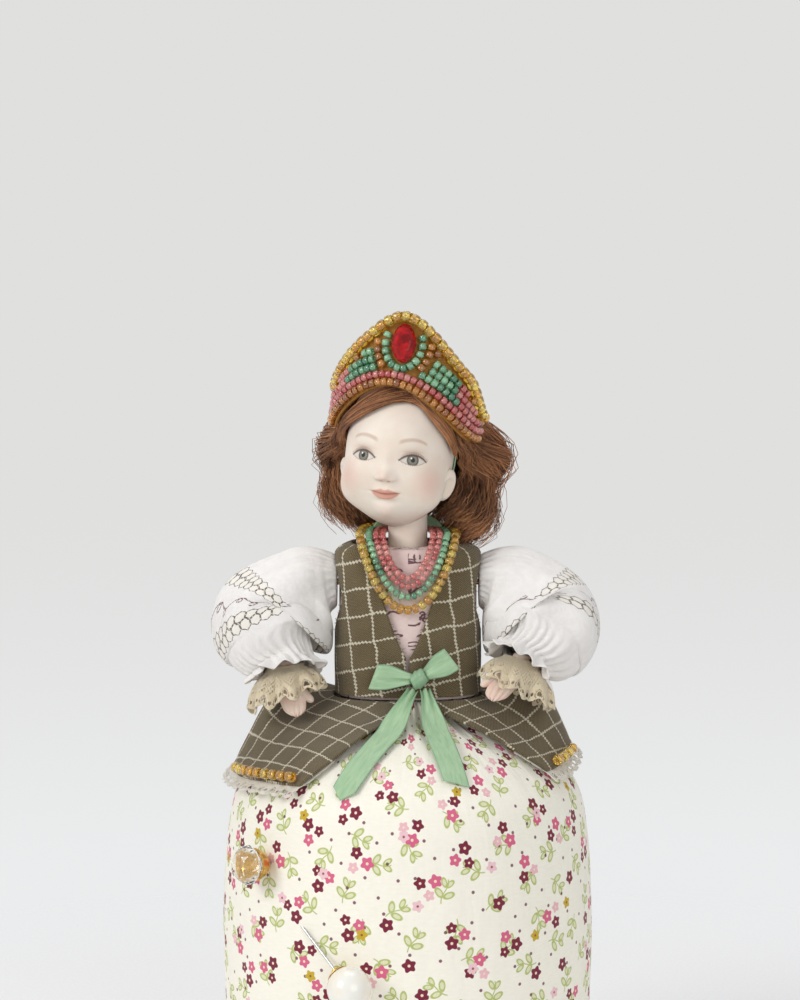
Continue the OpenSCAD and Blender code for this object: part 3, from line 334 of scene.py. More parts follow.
depth = 1.25 * pleats * smooth((up - 7) / 2.6) + 0.9 * fine * smooth((up - 7.4) / 2.2)
depth += 0.45 * fine * smooth((0.9 - up) / 0.9) + 0.16 * (wobble(ring * 3 + up, 4) + wobble(up * 2 - ring * 2, 5))
pearl_hole = (math.radians(-31.5), 69.0)
crystal_hole = (math.radians(-48), 86.0)
for az, z in (pearl_hole, crystal_hole):
    off = np.hypot((ring - az) * cushion_r, line[:, 1][:, None] - z)
    depth += 0.55 * bell(off / 2.4)
out = line[:, 0][:, None] - depth * slope[:, 1][:, None]
high = line[:, 1][:, None] + depth * slope[:, 0][:, None]
skirt = np.stack([out * np.sin(ring), -out * np.cos(ring), high], -1)
tuck, drawn_in = ([np.stack([r * np.sin(around), -r * np.cos(around), np.full_like(around, z)], -1) for r, z in rings]
                  for rings in (((39.15, 1.9), (39.2, 0.9), (39.5, 0.45)), ((11.5, 127.05), (3.2, 127.1))))
skirt = np.concatenate([tuck, skirt, drawn_in])
run = np.concatenate([[0], np.cumsum(np.linalg.norm(np.diff(line, axis=0), axis=1))])
run = np.concatenate([[-2, -1, -0.5], run, [run[-1] + 3, run[-1] + 11]])
cut = np.stack(np.meshgrid(np.append(around, np.pi) * cushion_r, run), -1)
cushion = sew("skirt_cushion", skirt, cut, closed=True)


def on_cloth(dye):
    """Where a point lies on the cut cloth: the place itself, and how far across and along."""
    spot = dye.node("UVMap", uv_map="cloth")
    across, along, _ = spot.parts()
    return spot, across, along


def scatter(u, v, cell, seed):
    """Places from one chance spot in each cell of the cloth, turned a chance way, and a chance number."""
    across = (u / cell).op("FLOOR")
    upward = (v / cell).op("FLOOR")
    dice = u.node("CombineXYZ", {0: across, 1: upward, 2: seed})
    a, b, c = u.node("TexWhiteNoise", {"Vector": dice}, out="Color").parts()
    x = u - (across + 0.32 + a * 0.36) * cell
    y = v - (upward + 0.32 + b * 0.36) * cell
    cos, sin = (c * 6.28).op("COSINE"), (c * 6.28).op("SINE")
    return x * cos + y * sin, y * cos - x * sin, (a * 7.3 + b * 3.1) % 1


def bloom(x, y, size):
    """A five-petalled flower, and its eye."""
    far = (x * x + y * y) ** 0.5
    petals = (y.op("ARCTAN2", x) * 5).op("COSINE") * 0.15 + 0.86
    return (petals * size - far).fade(-0.09, 0.09), (0.2 * size - far).fade(-0.06, 0.06)


def leaf(x, y, x0, tilt, length, width):
    """Outline and inside of a pair of leaves either side of a stem."""
    c, s = math.cos(tilt), math.sin(tilt)
    away = abs(y)
    along = ((x - x0) * c + away * s - length / 2) / (length / 2)
    over = (away * c - (x - x0) * s) / width
    out = (along * along + over * over) ** 0.5
    return (0.2 - abs(out - 0.8)).fade(-0.1, 0.1), (0.85 - out).fade(-0.1, 0.1)


def weave(u, v, pitch):
    """Plain weave: threads over and under."""
    return u.sine(pitch) * v.sine(pitch) * 0.5 + 0.5


def sprigged_cotton(dye):
    spot, u, v = on_cloth(dye)
    threads = weave(u, v, 0.34)
    slub = spot.noise(1.5, 3, (0.25, 1, 1))
    shade = (threads * 0.5 + slub * 0.7).fade(0.2, 1.0)
    base = shade.tint(colour(246, 241, 225), colour(254, 251, 238))
    u, v = u * 0.88 + v * 0.47, v * 0.88 - u * 0.47
    lime, burgundy, rose = colour(172, 186, 92), colour(124, 40, 62), colour(218, 104, 138)
    x, y, _ = scatter(u + 4.7, v + 2.9, 11.6, 3.0)
    stem = (abs(y + (x * 0.9).op("SINE") * 0.35) * -1 + 0.17).fade(-0.09, 0.09)
    stem = stem * (3.4 - abs(x)).fade(-0.2, 0.2)
    sprig, inside = stem, None
    for x0, tilt, length, width in ((-1.7, 0.95, 3.5, 0.95), (1.1, 0.6, 3.0, 0.8)):
        edge, fill = leaf(x, y, x0, tilt, length, width)
        sprig = sprig.op("MAXIMUM", edge)
        inside = fill if inside is None else inside.op("MAXIMUM", fill)
    hatch = (x + y).wave(0.55)
    base = (inside * (0.25 + hatch * 0.45)).tint(base, colour(196, 204, 118))
    base = (sprig * 0.85).tint(base, lime)
    x, y, chance = scatter(u + 1.3, v + 3.7, 6.1, 8.0)
    dot = (0.46 - (x * x + y * y) ** 0.5).fade(-0.1, 0.1) * (chance - 0.35).fade(0, 0.02)
    base = (dot * 0.9).tint(base, colour(112, 44, 70))
    x, y, chance = scatter(u, v, 13.4, 1.0)
    for x0, y0, size, first, second in ((2.2, 0.1, 2.0, burgundy, rose), (-1.5, 2.1, 1.8, rose, burgundy),
                                        (-1.4, -2.0, 1.6, burgundy, colour(238, 190, 196))):
        petals, eye = bloom(x - x0, y - y0, size)
        petals = petals * (chance - (0.0 if x0 > 0 else 0.22)).fade(0, 0.02)
        base = petals.tint(base, (chance - 0.58).fade(0, 0.02).tint(first, second))
        base = (eye * petals).tint(base, colour(246, 226, 196))
    x, y, chance = scatter(u + 9.1, v + 5.2, 21.0, 5.0)
    petals, eye = bloom(x, y, 1.7)
    base = petals.tint(base, (chance - 0.5).fade(0, 0.02).tint(colour(202, 172, 52), colour(240, 200, 206)))
    base = (eye * petals).tint(base, colour(150, 90, 60))
    creases = spot.noise(0.09, 3, (1.6, 0.5, 1))
    return {"Base Color": base, "Roughness": 0.9 - threads * 0.12,
            "Relief": threads * 0.035 + slub * 0.05 + creases * 0.8}


fit(cushion, "doll_body", "printed_cotton",
    finish("sprigged_cotton", sprigged_cotton, Sheen_Weight=0.15, Specular_IOR_Level=0.25),
    "skirt_cover", "stuffing")


# Blouse. Pinkish white cotton embroidered with plum vines, stretched over the
# stuffed torso and drawn in round the neck, with a folded white tab at its slit.
torso_w = 37.0
torso_d = 25.0
torso_h = 41.0
torso_z = 127.3
neck_z = torso_z + torso_h
neck_at = np.array((0, 1))
blouse_out = 0.8


def spow(v, power):
    return np.sign(v) * np.abs(v) ** power


def half_w(t):
    return torso_w / 2 * np.sqrt(1 - 0.42 * np.clip((t - 0.92) / 0.08, 0, 1) ** 2)


def half_d(t):
    return torso_d / 2 * np.sqrt(1 - 0.5 * np.clip((t - 0.65) / 0.35, 0, 1) ** 2)


def body(t, d, az):
    """A point d outside the torso, t from waist to neck, az in degrees from the front to the left."""
    t, d, az = np.broadcast_arrays(np.asarray(t, float), d, np.radians(az))
    return np.stack([(half_w(t) + d) * spow(np.sin(az), 0.77), -(half_d(t) + d) * spow(np.cos(az), 0.77),
                     torso_z + torso_h * t + d * smooth((t - 0.7) / 0.3)], -1)


def ring(middle, r, z, n):
    a = np.linspace(0, 2 * np.pi, n, endpoint=False)
    return np.stack([middle[0] + r * np.sin(a), middle[1] - r * np.cos(a), np.full(n, z)], -1)


def grid(down, over):
    """Every pairing of two rows of numbers, as two tables."""
    return np.meshgrid(down, over, indexing="ij")


t, az = grid(np.linspace(0.005, 1, 60), np.linspace(0, 360, 120, endpoint=False))
chest = body(t, 0.5 + 0.12 * wobble(np.radians(az) * 4 + t * 5, 12), az)
yoke = ring(neck_at, 6.4, neck_z + 0.75, 120)
inward = np.linspace(0, 1, 16)[1:, None, None]
gathered = lerp(chest[-1][None], yoke[None], inward)
gathered[..., 2] += 0.35 * np.sin(inward[..., 0] * 3.14) * (0.5 - 0.5 * np.cos(np.radians(az[:1]) * 26))
laid = np.stack(np.meshgrid(np.linspace(0, 112, 121), np.linspace(0, 54, 75)), -1)
blouse = sew("embroidered_blouse", np.concatenate([chest, gathered]), laid, 0.45, closed=True)


def embroidered_cotton(dye):
    spot, u, v = on_cloth(dye)
    threads = weave(u, v, 0.3)
    base = (threads * 0.6 + spot.noise(0.6, 3) * 0.6).fade(0.2, 1).tint(colour(222, 196, 190), colour(238, 218, 212))
    x, y, _ = scatter(u + 2.2, v + 1.0, 7.2, 2.0)
    vine = (0.3 - abs(y - (x * 1.25).op("SINE") * 0.9)).fade(-0.12, 0.12)
    vine = vine * (3 - abs(x)).fade(0, 0.3)
    edge, _ = leaf(x, y, 0.4, 0.85, 2.4, 0.72)
    stitches = ((u * 3.1).op("SINE") + (v * 3.7).op("SINE")).fade(-1.1, -0.6)
    drawn = vine.op("MAXIMUM", edge) * stitches
    return {"Base Color": (drawn * 0.92).tint(base, colour(96, 46, 62)),
            "Relief": threads * 0.04 + drawn * 0.25 + spot.noise(0.25, 3) * 0.5}


plum_vines = finish("plum_embroidered_cotton", embroidered_cotton, Roughness=0.85, Sheen_Weight=0.15)
fit(blouse, "doll_body", "white_cotton", plum_vines, "blouse", "torso")

t, over = grid(np.linspace(0.87, 0.67, 30), np.linspace(-1, 1, 13))
flap = body(t, blouse_out + 0.55 - 0.22 * over ** 2 + 0.15 * np.sin(t * 60), -6.5 + 2.5 * over)
tab = sew("collar_tab_fold", flap, np.stack([over * 1.6, t * 41], -1), 0.3)


def white_cotton(dye):
    spot, u, v = on_cloth(dye)
    threads = weave(u, v, 0.3)
    shade = (threads * 0.5 + spot.noise(0.7, 3) * 0.6).fade(0.2, 1)
    return {"Base Color": shade.tint(colour(232, 227, 220), colour(247, 244, 239)), "Relief": threads * 0.04}


plain_white = finish("white_cotton", white_cotton, Roughness=0.85, Sheen_Weight=0.2)
fit(tab, "doll_body", "white_cotton", plain_white, "collar_tab")


# Vest. Two fronts and a back of olive-brown twill with a cream windowpane
# check, seamed at the sides and shoulders, with raw armholes left to fray.
vest_mid = 1.72
vest_out = 2.15


def front_edge(t):
    x = 0.5 + 10.5 * np.clip((t - 0.3) / 0.7, 0, 1) ** 0.8
    return np.degrees(np.arcsin(np.minimum(0.97, (x / (half_w(t) + vest_out)) ** 1.3)))


def armhole(t):
    return 89.4 - 30 * np.sin(np.pi * np.clip((t - 0.42) / 0.52, 0, 1))


def arc(points, axis):
    """Length run along a grid of points."""
    step = np.linalg.norm(np.diff(points, axis=axis), axis=-1)
    return np.insert(np.cumsum(step, axis), 0, 0, axis)


def checked_twill(dye):
    spot, u, v = on_cloth(dye)
    drift = (spot.noise(0.18, 2) - 0.5) * 1.7
    wale = (u + v).wave(0.62)
    picks = v.wave(0.42)
    fibre = spot.noise(3.0, 3)
    shade = (wale * 0.35 + picks * 0.2 + fibre * 0.75 + spot.noise(0.12, 2) * 0.25).fade(0.35, 1.15)
    base = shade.tint(colour(62, 50, 30), colour(136, 121, 90))
    cream = None
    for across, along in ((u, v), (v, u)):
        zigzag = (along * (1 / 1.05)).op("PINGPONG", 0.5) * 0.55
        off = abs((across + drift + zigzag) % 7.5 - 3.75)
        dashes = along.sine(1.05) * 0.12
        line = (0.27 + dashes - off).fade(-0.12, 0.12)
        cream = line if cream is None else cream.op("MAXIMUM", line)
    ply = (0.75 + fibre * 0.45).fade(0.7, 1.2).tint(colour(216, 204, 174), colour(244, 236, 214))
    return {"Base Color": (cream * 0.88).tint(base, ply),
            "Relief": wale * 0.12 + picks * 0.05 + fibre * 0.12 + cream * 0.3 + spot.noise(0.2, 2) * 0.5}


twill = finish("windowpane_twill", checked_twill, Roughness=0.92, Sheen_Weight=0.2, Specular_IOR_Level=0.2)


def spin(name, paths, thick, sides=3, chance=None):
    """Fine strands round many paths; the cloth layer holds each strand's chance and how far along it is."""
    paths = np.asarray(paths, float)
    count, k = paths.shape[:2]
    thick = np.broadcast_to(np.asarray(thick, float), (count, k))
    way = np.gradient(paths, axis=1)
    way /= np.linalg.norm(way, axis=-1, keepdims=True) + 1e-9
    side = np.cross(way, (0.31, 0.23, 0.92))
    side /= np.linalg.norm(side, axis=-1, keepdims=True) + 1e-9
    upper = np.cross(way, side)
    a = np.arange(sides) * 2 * np.pi / sides
    round_it = side[:, :, None] * np.cos(a)[:, None] + upper[:, :, None] * np.sin(a)[:, None]
    points = paths[:, :, None] + round_it * thick[:, :, None, None]
    index = np.arange(count * k * sides).reshape(count, k, sides)
    nxt = np.roll(index, -1, 2)
    faces = np.stack([index[:, :-1], nxt[:, :-1], nxt[:, 1:], index[:, 1:]], -1).reshape(-1, 4)
    piece = thing(name, points.reshape(-1, 3), faces)
    chance = np.linspace(0, 1, count) if chance is None else chance
    along = np.linspace(0, 1, k)
    low, high = along[:-1], along[1:]
    run = np.stack([low, low, high, high], -1)
    run = np.broadcast_to(run[None, :, None], (count, k - 1, sides, 4))
    who = np.broadcast_to(np.asarray(chance)[:, None, None, None], run.shape)
    piece.data.uv_layers.new(name="cloth").data.foreach_set("uv", np.stack([who, run], -1).reshape(-1))
    return piece


def frayed(edge, away, seed, count, length):
    """Loose thread ends along a raw edge."""
    dice = np.random.default_rng(seed)
    at = np.sort(dice.uniform(0, len(edge) - 1.001, count))
    root, push = curve(edge, at), curve(away, at)
    k = np.linspace(0, 1, 5)[None, :, None]
    bend = dice.normal(0, 0.5, (count, 1, 3))
    reach = dice.uniform(0.3, 1, (count, 1, 1)) * length
    return root[:, None] + (push[:, None] * k + bend * k ** 2) * reach - push[:, None] * 0.3 * (1 - k)


def thread_dye(dark, light):
    def paint(dye):
        _, chance, along = on_cloth(dye)
        pick = dye.node("TexWhiteNoise", {"W": chance * 977}, out="Value", noise_dimensions="1D")
        return {"Base Color": pick.tint(dark, light), "Roughness": 0.75 + along * 0.15}
    return paint


raw_threads = finish("raw_twill_threads", thread_dye(colour(66, 54, 34), colour(176, 162, 128)), Sheen_Weight=0.2)
vest_rows = np.linspace(0.025, 1, 90)
girth_az = np.linspace(0, 95, 96)
girth = arc(body(0.5, vest_mid, girth_az)[None], 1)[0]
for node, side, seed, lean in (("vest_left", 1, 21, 0.16), ("vest_right", -1, 22, 0.2)):
    t, j = grid(vest_rows, np.linspace(0, 1, 46))
    az = lerp(front_edge(t), armhole(t), j)
    buckle = 0.16 * wobble(t * 9 + j * 3, seed) + 0.22 * bell((j - 0.02) / 0.05) - 0.25 * bell((t - 0.1) / 0.06)
    panel = body(t, vest_mid + buckle, az) * (side, 1, 1)
    across = np.interp(az, girth_az, girth) * side
    laid = np.stack([across + 0.13 * panel[..., 2] + 1.5, panel[..., 2] - lean * across], -1)
    front = sew(node + "_front", panel, laid, 0.75)
    fit(front, "doll_body", "checked_twill", twill, node)
    hole, neckline = panel[35:86], panel[28:]
    outward = hole[:, -1] - hole[:, -3]
    outward /= np.linalg.norm(outward, axis=-1)[:, None]
    ends = [frayed(hole[:, -1], outward + (0, 0, 0.1), seed, 170, 0.95),
            frayed(neckline[:, 0], neckline[:, 0] - neckline[:, 2], seed + 5, 60, 0.5)]
    fringe = spin(node + "_fray", np.concatenate(ends), 0.07)
    fit(fringe, "doll_body", "checked_twill", raw_threads)
t, j = grid(vest_rows, np.linspace(-1, 1, 90))
panel = body(t, vest_mid + 0.15 * wobble(t * 7 + j * 4, 25), 180 + armhole(t) * j)
back = sew("vest_back_panel", panel, np.stack([arc(panel, 1), panel[..., 2]], -1), 0.75)
fit(back, "doll_body", "checked_twill", twill, "vest_back")


# Peplum. Two flared halves of the same twill, sewn to the vest's waist, spread
# over the skirt with a lifted fold at each side, and edged under with white lace.
dome = curve(skirt_line, np.linspace(10, 6, 41))
back_flare = 43
back_seam = 179.4
lace_shows = 3.3


def dome_z(r):
    return np.interp(r, dome[:, 0], dome[:, 1])


def seam_r(az):
    a = np.radians(az)
    return ((np.abs(np.sin(a)) / (torso_w / 2 + vest_out)) ** 2.6
            + (np.abs(np.cos(a)) / (torso_d / 2 + vest_out)) ** 2.6) ** (-1 / 2.6)


def hem_r(flare, az):
    return np.where(az < 85, lerp(flare - 2, flare, smooth((az - 38) / 40)),
                    lerp(flare, back_flare, smooth((az - 85) / 60)))


def rest_z(r):
    return dome_z(np.minimum(r, cushion_r * 0.85)) - 0.7 * np.maximum(0, r - cushion_r * 0.85)


def peplum(flare, side_lift, az, s, d):
    """A point of a half, az from the front, s from the waist to the hem and d above it."""
    r = lerp(seam_r(az), hem_r(flare, az), s)
    start = cushion_h + 0.4 - rest_z(seam_r(az))
    lift = 3.2 + (side_lift - 3.2) * bell((az - 90) / 21)
    z = rest_z(r) + lerp(start, lift, smooth(s * 1.5)) + d
    z = z + 11 * bell((az - 106) / 25) * np.sin(np.pi * np.clip(s, 0, 1) ** 1.35)
    z = z + 0.9 * (0.5 - 0.5 * np.cos(np.radians(az * 9))) * smooth(s) * smooth((az - 60) / 60)
    a = np.radians(az)
    return np.stack([r * np.sin(a), -r * np.cos(a), z], -1)


def lace_holes(u, v, width, scallop):
    """Where bobbin lace has thread: net, a row of eyelets and a scalloped edge."""
    edge = width - 0.22 * scallop * (1 - np.abs(np.sin(np.pi * u / scallop)))
    net = np.abs((u / 1.3 + v / 1.3) % 1 - 0.5) + np.abs((u / 1.3 - v / 1.3) % 1 - 0.5) < 0.34
    near = edge - v
    petal = np.hypot((u + scallop / 2) % scallop - scallop / 2, near - 0.3 * scallop)
    eyelet = (petal < 0.17 * scallop) | ((petal > 0.25 * scallop) & (petal < 0.31 * scallop) & (near > 0.45))
    small = np.hypot(u % scallop - scallop / 2, near - 0.42 * scallop) < 0.12 * scallop
    trail = (near > 0.72 * scallop) & (near < 0.95 * scallop)
    hole = np.where(near < 0.72 * scallop, eyelet | small, net & ~trail)
    return (near > 0) & ~hole


def lace_thread(dark, light):
    def paint(dye):
        spot, u, v = on_cloth(dye)
        twist = (u * 1.3 + v).wave(0.4)
        shade = (twist * 0.5 + spot.noise(1.2, 3) * 0.7).fade(0.25, 1)
        return {"Base Color": shade.tint(dark, light), "Relief": twist * 0.12}
    return paint


scallop = 4.2
white_lace = finish("white_lace", lace_thread(colour(240, 233, 216), colour(255, 251, 241)), Roughness=0.85,
                    Sheen_Weight=0.2)
for name, side, opening, flare, side_lift, seed, cloth_w, lace_w, lace_area in (
        ("left", 1, (24, 58), 46, 7.5, 31, 0.09, 0.105, 0.001),
        ("right", -1, (8, 39), 49, 3.2, 32, 0.11, 0.125, 0.0012)):
    s, j = grid(np.linspace(0.01, 1, 60), np.linspace(0, 1, 170))
    az = lerp(lerp(*opening, s), back_seam, j)
    ripple = 0.5 * smooth(s * 2) * wobble(np.radians(az) * 6 + s * 3, seed) - 0.5 * bell((s - 0.985) / 0.02)
    shape = peplum(flare, side_lift, az, s, ripple) * (side, 1, 1)
    tilt = 0.35 * side
    spread, away = np.radians(az - 90) * 0.8 * side, 24 + arc(shape, 0)
    u, v = away * np.sin(spread), away * np.cos(spread)
    cut = np.stack([u * math.cos(tilt) + v * math.sin(tilt), v * math.cos(tilt) - u * math.sin(tilt)], -1)
    skirt_half = sew("peplum_%s_half" % name, shape, cut, 0.7)
    fit(skirt_half, "doll_body", "checked_twill", twill, "peplum_" + name)
    hem_az = np.linspace(opening[1], back_seam, 560)
    reach = 1 + lace_shows / (hem_r(flare, hem_az) - seam_r(hem_az))
    s = np.linspace(0.66, 1, 40)[:, None] * reach
    az = lerp(lerp(*opening, np.clip(s, 0, 1)), back_seam, np.linspace(0, 1, 560)[None])
    u = np.radians(az) * 44
    under = -0.95 + 0.12 * np.sin(u * 1.9) * smooth((s - 0.9) / 0.1)
    strip = peplum(flare, side_lift, az, s, under) * (side, 1, 1)
    v = arc(strip, 0)
    laid = np.stack([u, v], -1)
    middle = (laid[:-1, :-1] + laid[1:, 1:]) / 2
    deep = ((v[-1][:-1] + v[-1][1:]) / 2)[None]
    lace = sew("peplum_lace_%s_edge" % name, strip, laid, 0.18,
               keep=lace_holes(middle[..., 0], middle[..., 1], deep, scallop))
    fit(lace, "doll_body", "white_lace", white_lace, "peplum_lace_" + name)
    "peplum_%s_half" % name


# Hem beads. Round amber glass beads with a hole, each sewn on with a stitch of
# its own, in a row along the hem at the front corner of each peplum half.
def node_points(node):
    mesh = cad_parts[node].data
    points = np.empty(len(mesh.vertices) * 3)
    mesh.vertices.foreach_get("co", points)
    return points.reshape(-1, 3) / MM


def bead_places(node):
    """Middle, axis, radius and half length of every bead in a node, in millimetres."""
    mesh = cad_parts[node].data
    points, same = np.unique(np.round(node_points(node), 3), axis=0, return_inverse=True)
    same = same.reshape(-1)
    first = np.arange(len(points))
    links = np.array([[same[v] for v in p.vertices[:3]] for p in mesh.polygons])
    while True:
        lowest = first[links].min(1)
        before = first.copy()
        for corner in links.T:
            np.minimum.at(first, corner, lowest)
        first = first[first]
        if (first == before).all():
            break
    places = []
    for label in np.unique(first):
        bead = points[first == label]
        middle = (bead.max(0) + bead.min(0)) / 2 if len(bead) < 4 else bead.mean(0)
        off = bead - middle
        size, ways = np.linalg.eigh(off.T @ off)
        odd = 0 if size[1] - size[0] > size[2] - size[1] else 2
        axis = ways[:, odd]
        along = off @ axis
        out = np.linalg.norm(off - along[:, None] * axis, axis=1).max()
        places.append((middle, axis, out, np.abs(along).max()))
    return places


def glass_beads(name, node, seed, swell=1.0, rounds=18, steps=10):
    """Rounded beads with a hole, one for each bead of a node."""
    dice = np.random.default_rng(seed)
    a = np.arange(rounds) * 2 * np.pi / rounds
    b = np.arange(steps) * 2 * np.pi / steps
    index = np.arange(rounds * steps).reshape(rounds, steps)
    nxt = np.roll(index, -1, 0)
    quads = np.stack([index, nxt, np.roll(nxt, -1, 1), np.roll(index, -1, 1)], -1).reshape(-1, 4)
    points, faces, chance = [], [], []
    for i, (middle, axis, out, half) in enumerate(bead_places(node)):
        axis = axis + dice.normal(0, 0.07, 3)
        axis /= np.linalg.norm(axis)
        side = np.cross(axis, (0.2, 0.9, 0.31))
        side /= np.linalg.norm(side)
        upper = np.cross(axis, side)
        out *= swell * dice.uniform(0.96, 1.03)
        half *= swell * dice.uniform(0.92, 1.08)
        bore = out * 0.34
        r = (out + bore) / 2 + (out - bore) / 2 * spow(np.cos(b), 0.8)
        z = half * spow(np.sin(b), 0.8)
        around = side * np.cos(a)[:, None] + upper * np.sin(a)[:, None]
        points.append((middle + around[:, None] * r[:, None] + axis * z[:, None]).reshape(-1, 3))
        faces.append(quads + i * rounds * steps)
        chance.append(np.full(len(quads) * 4, dice.uniform()))
    piece = thing(name, np.concatenate(points), np.concatenate(faces))
    chance = np.concatenate(chance)
    piece.data.uv_layers.new(name="cloth").data.foreach_set("uv", np.stack([chance, chance], -1).reshape(-1))
    return piece


def glass(name, dark, light, clear):
    """Pressed glass for beads, each a little darker or lighter than the next."""
    def paint(dye):
        _, chance, _ = on_cloth(dye)
        cloud = spot_mm(dye).noise(1.1, 2)
        return {"Base Color": (chance * 0.7 + cloud * 0.5).fade(0.1, 1).tint(dark, light),
                "Roughness": 0.06 + cloud * 0.1}
    return finish(name, paint, Transmission_Weight=clear, IOR=1.52, Coat_Weight=1.0, Coat_Roughness=0.03)


amber_glass = glass("amber_glass", colour(236, 176, 22), colour(255, 232, 110), 0.82)
fit(glass_beads("amber_hem_beads", "hem_beads", 41), "doll_body", "amber_glass", amber_glass, "hem_beads")


# Waist bow. One length of mint satin ribbon, 7 mm wide, tied in a flat bow at
# the bottom of the neckline, its cut ends hanging over the skirt.
bow = np.array((3.0, -(torso_d / 2 + vest_out + 2.3), 134.0))
ribbon_w = 7.0


def satin(dye):
    spot, u, v = on_cloth(dye)
    floats = spot.noise(7, 2, (0.06, 1, 1))
    # Broad lengthwise streaks: crease relief, and painted sheen where they make the colour lighter or darker.
    creases_and_sheen = spot.noise(0.7, 3, (0.25, 1, 1))
    rib = u.wave(0.28)
    selvedge = (abs(v) - 3.1).fade(0, 0.25)
    shade = (floats * 0.5 + creases_and_sheen * 0.7).fade(0.3, 0.95)
    base = shade.tint(colour(140, 178, 136), colour(178, 208, 168))
    return {"Base Color": (selvedge * 0.5).tint(base, colour(110, 150, 116)),
            "Roughness": 0.36 + floats * 0.16, "Relief": rib * 0.012 + floats * 0.03 + creases_and_sheen * 0.25}


mint_satin = finish("mint_satin", satin, Specular_IOR_Level=0.55, Sheen_Weight=0.25, Anisotropic=0.4)


def bow_loop(name, out, length, full, dip, node):
    """A loop of ribbon that leaves the knot the way of out, comes round and goes back behind itself."""
    out = np.array(out) / np.linalg.norm(out)
    upright = np.array((-out[2], 0, out[0]))
    u, v = grid(np.linspace(0, 1, 70), np.linspace(-1, 1, 15))
    go = np.sin(np.pi * u)
    reach = 2.0 + length * go ** 0.8
    half = ribbon_w / 2 * lerp(0.32, 1, smooth(reach / length * 1.05))
    depth = -np.cos(np.pi * u) * (0.25 + full * go ** 1.3) + 0.35 * np.sin(v * 4 + u * 3) * (1 - go)
    crease = 0.35 * bell(v / 0.25) * (1 - smooth(go * 1.3))
    skew = dip * v * go * 1.5
    points = bow + out * (reach + skew)[..., None] + np.array((0, 1, 0)) * (depth - crease)[..., None]
    points = points + upright * (v * half)[..., None]
    laid = np.stack([u * 2 * length, v * ribbon_w / 2], -1)
    fit(sew(name, points, laid, 0.22), "doll_body", "mint_satin", mint_satin, node)


bow_loop("ribbon_loop_left", (0.85, 0, 0.53), 8.7, 1.3, -0.2, "bow_loop_left")
bow_loop("ribbon_loop_right", (-1, 0, 0.05), 10.6, 1.3, 0.75, "bow_loop_right")


def bow_tail(name, x_end, r_end, point, slant, node):
    """A tail that drops from the knot and lies on the skirt, cut to a point or on the slant."""
    q, v = grid(np.linspace(0, 1, 90), np.linspace(-1, 1, 21))
    q = q * (1 + point * (1 - np.abs(v)) + slant * v)
    r = lerp(-bow[1] + 0.2, r_end, q)
    x = lerp(bow[0] + np.sign(x_end) * 1.6, x_end, q)
    fall = lerp(bow[2] - 3.0 - dome_z(-bow[1]), 1.15, smooth(q * 2.4))
    spine = np.stack([x, -np.sqrt(r * r - x * x), dome_z(r) + fall], -1)
    way = np.gradient(spine[:, 10], axis=0)
    side = np.cross(way, spine[:, 10] * (1, 1, 0) - (0, 0, 1) * spine[:, 10, 1:2])
    side /= np.linalg.norm(side, axis=-1, keepdims=True)
    upper = np.cross(side, way)
    upper /= np.linalg.norm(upper, axis=-1, keepdims=True)
    half = ribbon_w / 2 * lerp(0.42, 1, smooth(q * 3.2))
    curl = (0.5 * (v ** 2 - 0.4) * (0.4 + np.sin(q * 5 + x_end)) * smooth(q * 4)
            + 0.5 * np.sin(q * 7 + x_end) * v * smooth(q * 3))
    pleat = 0.7 * np.cos(v * 5.2) * (1 - smooth(q * 3.4))
    points = spine + side[:, None] * (v * half)[..., None] + upper[:, None] * (0.35 + curl * 0.55 + pleat)[..., None]
    laid = np.stack([q * 36, v * ribbon_w / 2], -1)
    fit(sew(name, points, laid, 0.22), "doll_body", "mint_satin", mint_satin, node)


bow_tail("ribbon_tail_left", 13.0, cushion_r * 0.83, 0.0, -0.035, "bow_tail_left")
bow_tail("ribbon_tail_right", -17.0, cushion_r * 0.86, 0.07, 0.0, "bow_tail_right")
wrap, across = grid(np.linspace(0, 2 * np.pi, 49)[:-1], np.linspace(-1, 1, 17))
swell = 2.0 - 0.45 * across ** 2 + 0.12 * np.sin(across * 9 + wrap)
knot = np.stack([across * 2.2 + 0.25 * np.sin(wrap), swell * 0.95 * np.cos(wrap), swell * 1.15 * np.sin(wrap)], -1)
lean = math.radians(35)
spun = np.stack([knot[..., 0] * math.cos(lean) - knot[..., 2] * math.sin(lean), knot[..., 1],
                 knot[..., 0] * math.sin(lean) + knot[..., 2] * math.cos(lean)], -1)
laid = np.stack(np.meshgrid(np.linspace(-3, 3, 17), np.linspace(0, 13, 49)), -1)
knot = sew("ribbon_knot", (bow + spun).transpose(1, 0, 2), laid.transpose(1, 0, 2), 0.2, closed=True)
fit(knot, "doll_body", "mint_satin", mint_satin, "bow_knot")


# Necklaces. Coral, mint and amber glass beads strung on white thread, tied at
# the nape and hanging one inside the other down the chest.
coral_glass = glass("coral_glass", colour(222, 84, 84), colour(255, 176, 166), 0.6)
mint_glass = glass("mint_glass", colour(72, 160, 116), colour(180, 238, 194), 0.6)
for name, node, seed, slot, stuff in (("coral_strands", "coral_necklace", 51, "coral_glass", coral_glass),
                                      ("mint_strand", "mint_necklace", 52, "mint_glass", mint_glass),
                                      ("amber_strand", "amber_necklace", 53, "amber_glass", amber_glass)):
    fit(glass_beads(name, node, seed, 1.06), "doll_body", slot, stuff, node)


def twisted_thread(dye):
    x, y, z = spot_mm(dye).parts()
    ply = ((x + y + z) * 9).op("SINE") * 0.5 + 0.5
    return {"Base Color": ply.tint(colour(214, 208, 196), colour(245, 242, 235)), "Relief": ply * 0.03}


dress(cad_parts["necklace_threads"], finish("white_thread", twisted_thread, Roughness=0.7))


# Head. Pale unglazed bisque, cast with its neck and ears in one, painted by
# hand, and pushed on the dowel so that it turns.
head_c = np.array((-2.0, -1.0, neck_z + 28))
head_w, head_d, head_h = 30.0, 35.0, 43.0


